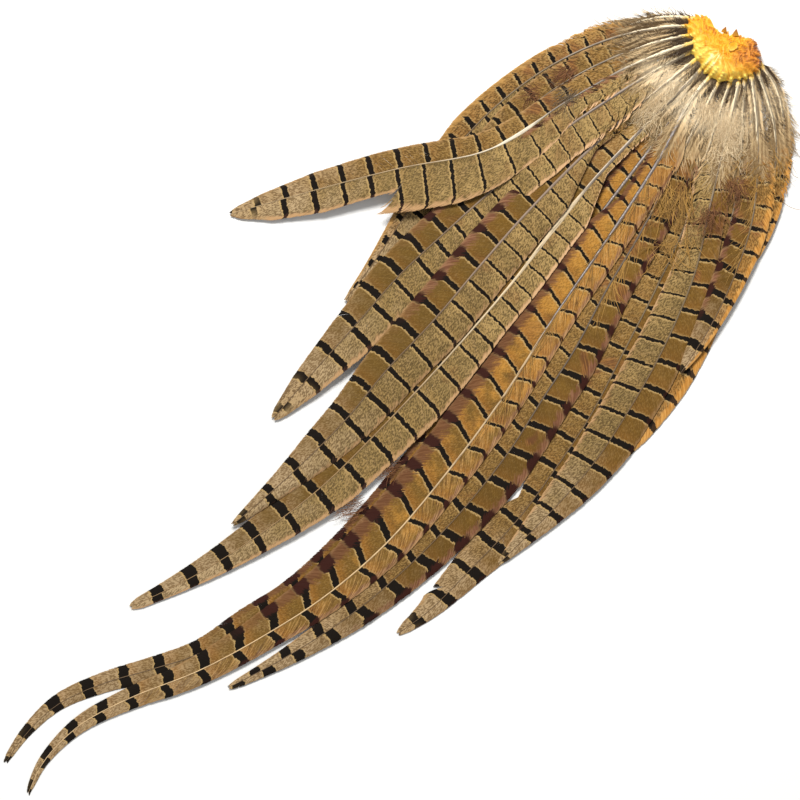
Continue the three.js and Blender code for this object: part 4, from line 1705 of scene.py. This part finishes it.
@dataclass(frozen=True)
class SkinFinish:
    """Colours of the dried skin.

    Attributes:
        crease_shade: Painted shade down in the creases, also laid by random blotches.
        orange: Main colour.
        yellow: Colour on the raised parts, partly a painted highlight, also laid by random blotches.
        front: Colour over the quills in front, laid on strongest over the quill ridges as painted light.
        shine: Palest colour, a painted highlight in the middle of the front and on the quill ridges.
        red_crease_shade: Painted shade down in the creases behind, to +Y, also laid by random blotches.
        red: Colour on the raised parts there.
        speck: Colour of the fine specks.
        char: Colour of the darkest torn points.
    """

    crease_shade: Colour = (0.56, 0.17, 0.01)
    orange: Colour = (0.95, 0.43, 0.018)
    yellow: Colour = (1.0, 0.66, 0.07)
    front: Colour = (1.0, 0.72, 0.13)
    shine: Colour = (1.0, 0.92, 0.46)
    red_crease_shade: Colour = (0.25, 0.06, 0.01)
    red: Colour = (0.78, 0.28, 0.035)
    speck: Colour = (0.35, 0.13, 0.02)
    char: Colour = (0.17, 0.04, 0.015)


@dataclass
class SkinPad:
    """The pad of dried skin that holds the quills.

    Attributes:
        side_height: Height where the side rolls over.
        crown: Height of the crown.
        sides: Columns round the pad.
        rows: Rows from the underside to the crown.
        thorns: Torn points of the back edge, as (x, y) of the foot and of the
            tip, and the foot's radius.
        thorn_foot: Height of the foot of a torn point.
        curl: Middle and radius of the dried flake that stands up on the back.
        curl_height: Height of that flake.
        quill_half: Half width of the ridge over a quill.
        quill_reach: Length of the quills that lie in the skin.
        finish: Its colours.
    """

    side_height: float = 9.3
    crown: float = 11.9
    sides: int = 460
    rows: int = 110
    thorns: tuple = (((-6.8, -6.0), (-9.4, -7.6), 1.5), ((-9.6, -0.6), (-12.3, -3.1), 1.7))
    thorn_foot: float = 9.8
    curl: tuple = (-4.9, 1.9, 2.6)
    curl_height: float = 12.0
    quill_half: float = 0.95
    quill_reach: float = 30.0
    finish: SkinFinish = SkinFinish()

    def quill_ridge(self, x: Array, y: Array) -> Array:
        """Closeness to the nearest quill: exp(-(d / quill_half)^2) of the distance d.

        Args:
            x: Plan coordinate.
            y: Plan coordinate.

        Returns:
            Values from 0 to 1.
        """
        lines = (feather.line for feather in FEATHERS)
        quills = np.vstack([line.line[line.run < self.quill_reach][::5] for line in lines])
        gap = (x.reshape(-1, 1) - quills[:, 0]) ** 2 + (y.reshape(-1, 1) - quills[:, 1]) ** 2
        return np.exp(-gap.min(axis=1) / self.quill_half**2).reshape(x.shape)

    def surface(self) -> Patch:
        """Rings from the flat underside over the side to the crown.

        Seen from above a ring is the rim drawn in towards the middle; its
        height rises up the side and over the top. Skin runs out along the
        quills, is ridged over them, and is creased and torn behind.

        Returns:
            The pad's surface.
        """
        rng = np.random.default_rng(SEED)
        rim = np.asarray(PAD_RIM, float)
        closed = np.vstack([rim, rim[:1]])
        run = np.concatenate([[0.0], np.cumsum(np.linalg.norm(np.diff(closed, axis=0), axis=1))])
        turn = np.linspace(0.0, run[-1], self.sides, endpoint=False)
        x = np.interp(turn, run, closed[:, 0])
        y = np.interp(turn, run, closed[:, 1])
        rim_front = ease(-4.0, 4.0, x + 0.4 * np.maximum(y, 0.0))
        torn = np.abs(crumple(turn, 0.0 * turn, rng, 5.0, 5))
        outward = 1.0 - (1.0 - rim_front) * 0.09 * torn + rim_front * (0.12 * self.quill_ridge(x, y) - 0.03)
        v = np.linspace(0.0, 1.0, self.rows)[:, None]
        keep = np.interp(v, [0, 0.03, 0.06, 0.22, 0.30, 1.0], [0.0, 0.94, 1.0, 0.99, 0.93, 0.0])
        keep = keep * (1.0 + (outward[None, :] - 1.0) * ease(0.5, 1.0, keep))
        height = np.interp(
            v, [0, 0.03, 0.06, 0.22, 0.30, 0.5, 1.0],
            [0.0, 0.0, 1.6, 7.2, self.side_height, self.crown - 0.9, self.crown - 0.4],
        )
        px, py = x[None, :] * keep, y[None, :] * keep
        top = ease(0.16, 0.32, v)
        front = ease(-3.0, 9.0, px + 0.35 * np.maximum(py, 0.0))
        ridge = self.quill_ridge(px, py) * front
        angle, reach = np.arctan2(py, px), np.hypot(px, py)
        rays = crumple(11.0 * angle, 0.4 * reach, rng, 4.0, 3)
        relief = front * rays + (1.0 - front) * crumple(px, py, rng, 3.4, 5)
        height = height + top * (1.2 * ridge * ease(0.15, 0.55, keep) + (0.5 - 0.36 * front) * relief)
        height = height - top * 2.6 * front * ease(0.72, 1.06, keep) * (1.0 - 0.25 * ridge)
        height = np.minimum(height, BOX_HIGH[2])
        # Painted highlight: a soft pale spot on the middle of the front.
        glow = np.exp(-((px - 4.5) ** 2 + (py - 0.5) ** 2) / 55.0)
        marks = {
            name: np.broadcast_to(value, px.shape).reshape(-1)
            for name, value in (
                ("front", front), ("ridge", ridge), ("side", py), ("relief", relief), ("glow", glow),
            )
        }
        points = np.stack([px, py, np.maximum(height, 0.0)], axis=2).reshape(-1, 3)
        return Patch(points, tube_quads(self.sides, self.rows), marks, 0)

    def thorn(self, foot: tuple, tip: tuple, radius: float) -> Patch:
        """A torn point of skin: a bent, fluted cone, r = radius (1 - t)^0.7 at share t.

        Args:
            foot: Plan point of its foot.
            tip: Plan point of its tip.
            radius: Radius at the foot.

        Returns:
            Its surface.
        """
        sides, rings = 8, 7
        t = np.linspace(0.0, 1.0, rings)[:, None]
        angle = 2.0 * math.pi * np.arange(sides)[None, :] / sides
        ahead = np.array([tip[0] - foot[0], tip[1] - foot[1]])
        ahead = ahead / np.linalg.norm(ahead)
        thin = radius * np.maximum(1.0 - t, 0.0) ** 0.7 * (1.0 + 0.3 * np.sin(3.0 * angle + 4.0 * t))
        side = thin * np.cos(angle)
        x = foot[0] + (tip[0] - foot[0]) * t - ahead[1] * side
        y = foot[1] + (tip[1] - foot[1]) * t + ahead[0] * side
        z = self.thorn_foot + 1.4 * t * (2.0 - t) + 0.45 * thin * np.sin(angle)
        points = np.stack([x, y, z], axis=2).reshape(-1, 3)
        char = np.broadcast_to(0.35 + 0.65 * t, x.shape).reshape(-1)
        return Patch(points, tube_quads(sides, rings), {"char": char, "side": points[:, 1]}, 0)

    def flake(self) -> Patch:
        """The curled flake: a closed shell with a wavy rim.

        At share v of the way from its underside to its top the shell reaches
        radius sin(pi v)^0.7, waved round the rim. It is cupped by the square
        of the reach and tilted down to +X.

        Returns:
            Its surface.
        """
        sides, rings = 40, 16
        centre_x, centre_y, radius = self.curl
        v = np.linspace(0.0, 1.0, rings)[:, None]
        angle = 2.0 * math.pi * np.arange(sides)[None, :] / sides
        waved = 1.0 + 0.13 * np.sin(3.0 * angle + 1.0) + 0.07 * np.sin(7.0 * angle)
        reach = radius * np.sin(math.pi * v) ** 0.7 * waved
        x = centre_x + reach * np.cos(angle)
        y = centre_y + 0.8 * reach * np.sin(angle)
        cup = (reach / radius) ** 2
        z = self.curl_height - 0.22 * np.cos(math.pi * v) + 0.75 * (cup - 0.45) - 0.12 * (x - centre_x)
        points = np.stack([x, y, np.minimum(z, BOX_HIGH[2])], axis=2).reshape(-1, 3)
        worn = np.broadcast_to(0.7 * (cup > 0.93), x.shape).reshape(-1)
        # The flake takes part of the painted highlight.
        marks = {"char": worn, "glow": np.full(x.size, 0.55), "relief": (cup * 1.2 - 0.5).reshape(-1)}
        return Patch(points, tube_quads(sides, rings), marks, 0)

    def dress(self) -> bpy.types.Material:
        """Waxy skin: orange, yellow painted highlights on ridges, painted shade in creases, redder behind and
        to +Y.

        Returns:
            The pad's material.
        """
        tree, finish = Tree("dried_skin"), self.finish
        place = tree.add("TexCoord").outputs["Object"]
        blotch = tree.noise(place, 190.0, 4.0, 0.6)
        patchy = blotch - 0.5
        fine = tree.noise(place, 1100.0, 3.0, 0.6)
        relief, ridge, front = tree.mark("relief"), tree.mark("ridge"), tree.mark("front")
        # Low relief takes painted crease shade and raised relief a painted yellow highlight, both broken up
        # by random blotches.
        raised = relief * 0.6 + patchy * 2.0
        colour = tree.mix(tree.step(raised, -1.1, -0.2), finish.crease_shade, finish.orange)
        colour = tree.mix(tree.step(raised, -0.2, 0.6) * 0.85, colour, finish.yellow)
        # The front's own paler colour over the quills, with painted light strongest on the quill ridges.
        lit = front * (0.45 + 0.7 * ridge) + patchy * 0.8 + relief * 0.15
        colour = tree.mix(tree.step(lit, 0.1, 0.75), colour, finish.front)
        # Painted highlight: palest at the glow in the middle of the front and along the quill ridges.
        shine = tree.mark("glow") * (0.6 + 0.6 * ridge) + patchy * 0.9 + relief * 0.2
        colour = tree.mix(tree.step(shine, 0.35, 0.95), colour, finish.shine)
        redder = tree.step(tree.mark("side") + patchy * 8.0, 3.0, 8.0) * (1.0 - front).clamp()
        # Painted shade in the creases of the redder part behind, to +Y.
        deep = tree.mix(tree.step(raised, -0.9, 0.2), finish.red_crease_shade, finish.red)
        colour = tree.mix(redder * 0.9, colour, deep)
        colour = tree.mix(tree.step(fine, 0.60, 0.72) * 0.3, colour, finish.speck)
        colour = tree.mix(tree.mark("char"), colour, finish.char)
        normal = tree.bump(fine, 0.6, 0.0006)
        return tree.finish(
            colour, 0.3 + 0.25 * blotch, normal, Subsurface_Weight=0.12, Subsurface_Scale=0.003,
            Specular_IOR_Level=0.35,
        )

    def build(self) -> bpy.types.Object:
        """Build the pad.

        Returns:
            The pad's object.
        """
        patches = [self.surface(), self.flake()] + [self.thorn(*thorn) for thorn in self.thorns]
        for patch in patches:
            patch.points = np.clip(patch.points, (*BOX_LOW[:2], 0.0), BOX_HIGH)
        piece = make_piece("skin_pad_dried", patches, [self.dress()])
        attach(piece, "root")
        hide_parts("skin_pad")
        return piece


# ---------------------------------------------------------------- setting


@dataclass
class Setting:
    """Floor, lights and camera, in metres.

    Attributes:
        centre: Point of the table in the middle of the view.
        view_width: Width of the view at the table.
        height: Camera height.
        sensor: Camera sensor width.
        key_power: Power of the large overhead lamp.
        key_size: Width of that lamp.
        key_place: Where it hangs.
        key_colour: Its colour.
        sky: Strength of the even light from all round.
        floor_half: Half the floor's width.
        floor_colour: Colour of the floor.
    """

    centre: tuple = (0.2369, 0.0092)
    view_width: float = 0.4
    height: float = 3.0
    sensor: float = 36.0
    key_power: float = 30.0
    key_size: float = 0.5
    key_place: tuple = (-0.35, -0.75, 1.35)
    key_colour: Colour = (1.0, 0.985, 0.96)
    sky: float = 0.42
    floor_half: float = 1.5
    floor_colour: Colour = (0.93, 0.93, 0.92)

    def floor(self) -> None:
        """A plain pale floor."""
        half = self.floor_half
        corners = [(-half, -half, 0.0), (half, -half, 0.0), (half, half, 0.0), (-half, half, 0.0)]
        mesh = bpy.data.meshes.new("floor")
        mesh.from_pydata(corners, [], [(0, 1, 2, 3)])
        tree = Tree("pale_floor")
        mesh.materials.append(tree.finish(self.floor_colour, 0.9))
        floor = bpy.data.objects.new("floor", mesh)
        bpy.context.collection.objects.link(floor)

    def lights(self) -> None:
        """A large soft lamp to one side overhead, and an even pale sky."""
        lamp = bpy.data.lights.new("soft_key", "AREA")
        lamp.shape = "DISK"
        lamp.size = self.key_size
        lamp.energy = self.key_power
        lamp.color = self.key_colour
        holder = bpy.data.objects.new("soft_key", lamp)
        holder.location = self.key_place
        aim = Vector((self.centre[0], self.centre[1], 0.0)) - holder.location
        holder.rotation_euler = aim.to_track_quat("-Z", "Y").to_euler()
        bpy.context.collection.objects.link(holder)
        world = bpy.data.worlds.new("studio")
        world.use_nodes = True
        sky = world.node_tree.nodes["Background"]
        sky.inputs["Color"].default_value = (1.0, 1.0, 1.0, 1.0)
        sky.inputs["Strength"].default_value = self.sky
        bpy.context.scene.world = world
        bpy.context.scene.view_settings.view_transform = "Standard"

    def camera(self) -> None:
        """Straight down, with the base at the upper right of the view."""
        lens = bpy.data.cameras.new("camera")
        lens.sensor_width = self.sensor
        lens.lens = self.sensor * self.height / self.view_width
        lens.clip_end = 20.0
        holder = bpy.data.objects.new("camera", lens)
        root = math.sqrt(0.5)
        turn = Matrix(((-root, -root, 0.0), (root, -root, 0.0), (0.0, 0.0, 1.0)))
        holder.matrix_world = Matrix.Translation((*self.centre, self.height)) @ turn.to_4x4()
        bpy.context.collection.objects.link(holder)
        bpy.context.scene.camera = holder

    def build(self) -> None:
        """Floor, lights and camera."""
        self.floor()
        self.lights()
        self.camera()


def main() -> None:
    """Build every piece in order and report each one."""
    logging.basicConfig(level=logging.INFO)
    Setting().build()
    pad = SkinPad().build()
    LOG.info("%s: %d faces", pad.name, len(pad.data.polygons))
    for serial, feather in enumerate(FEATHERS, 1):
        piece = feather.build(serial)
        LOG.info("%s: %d faces", piece.name, len(piece.data.polygons))


if __name__ == "__main__":
    main()
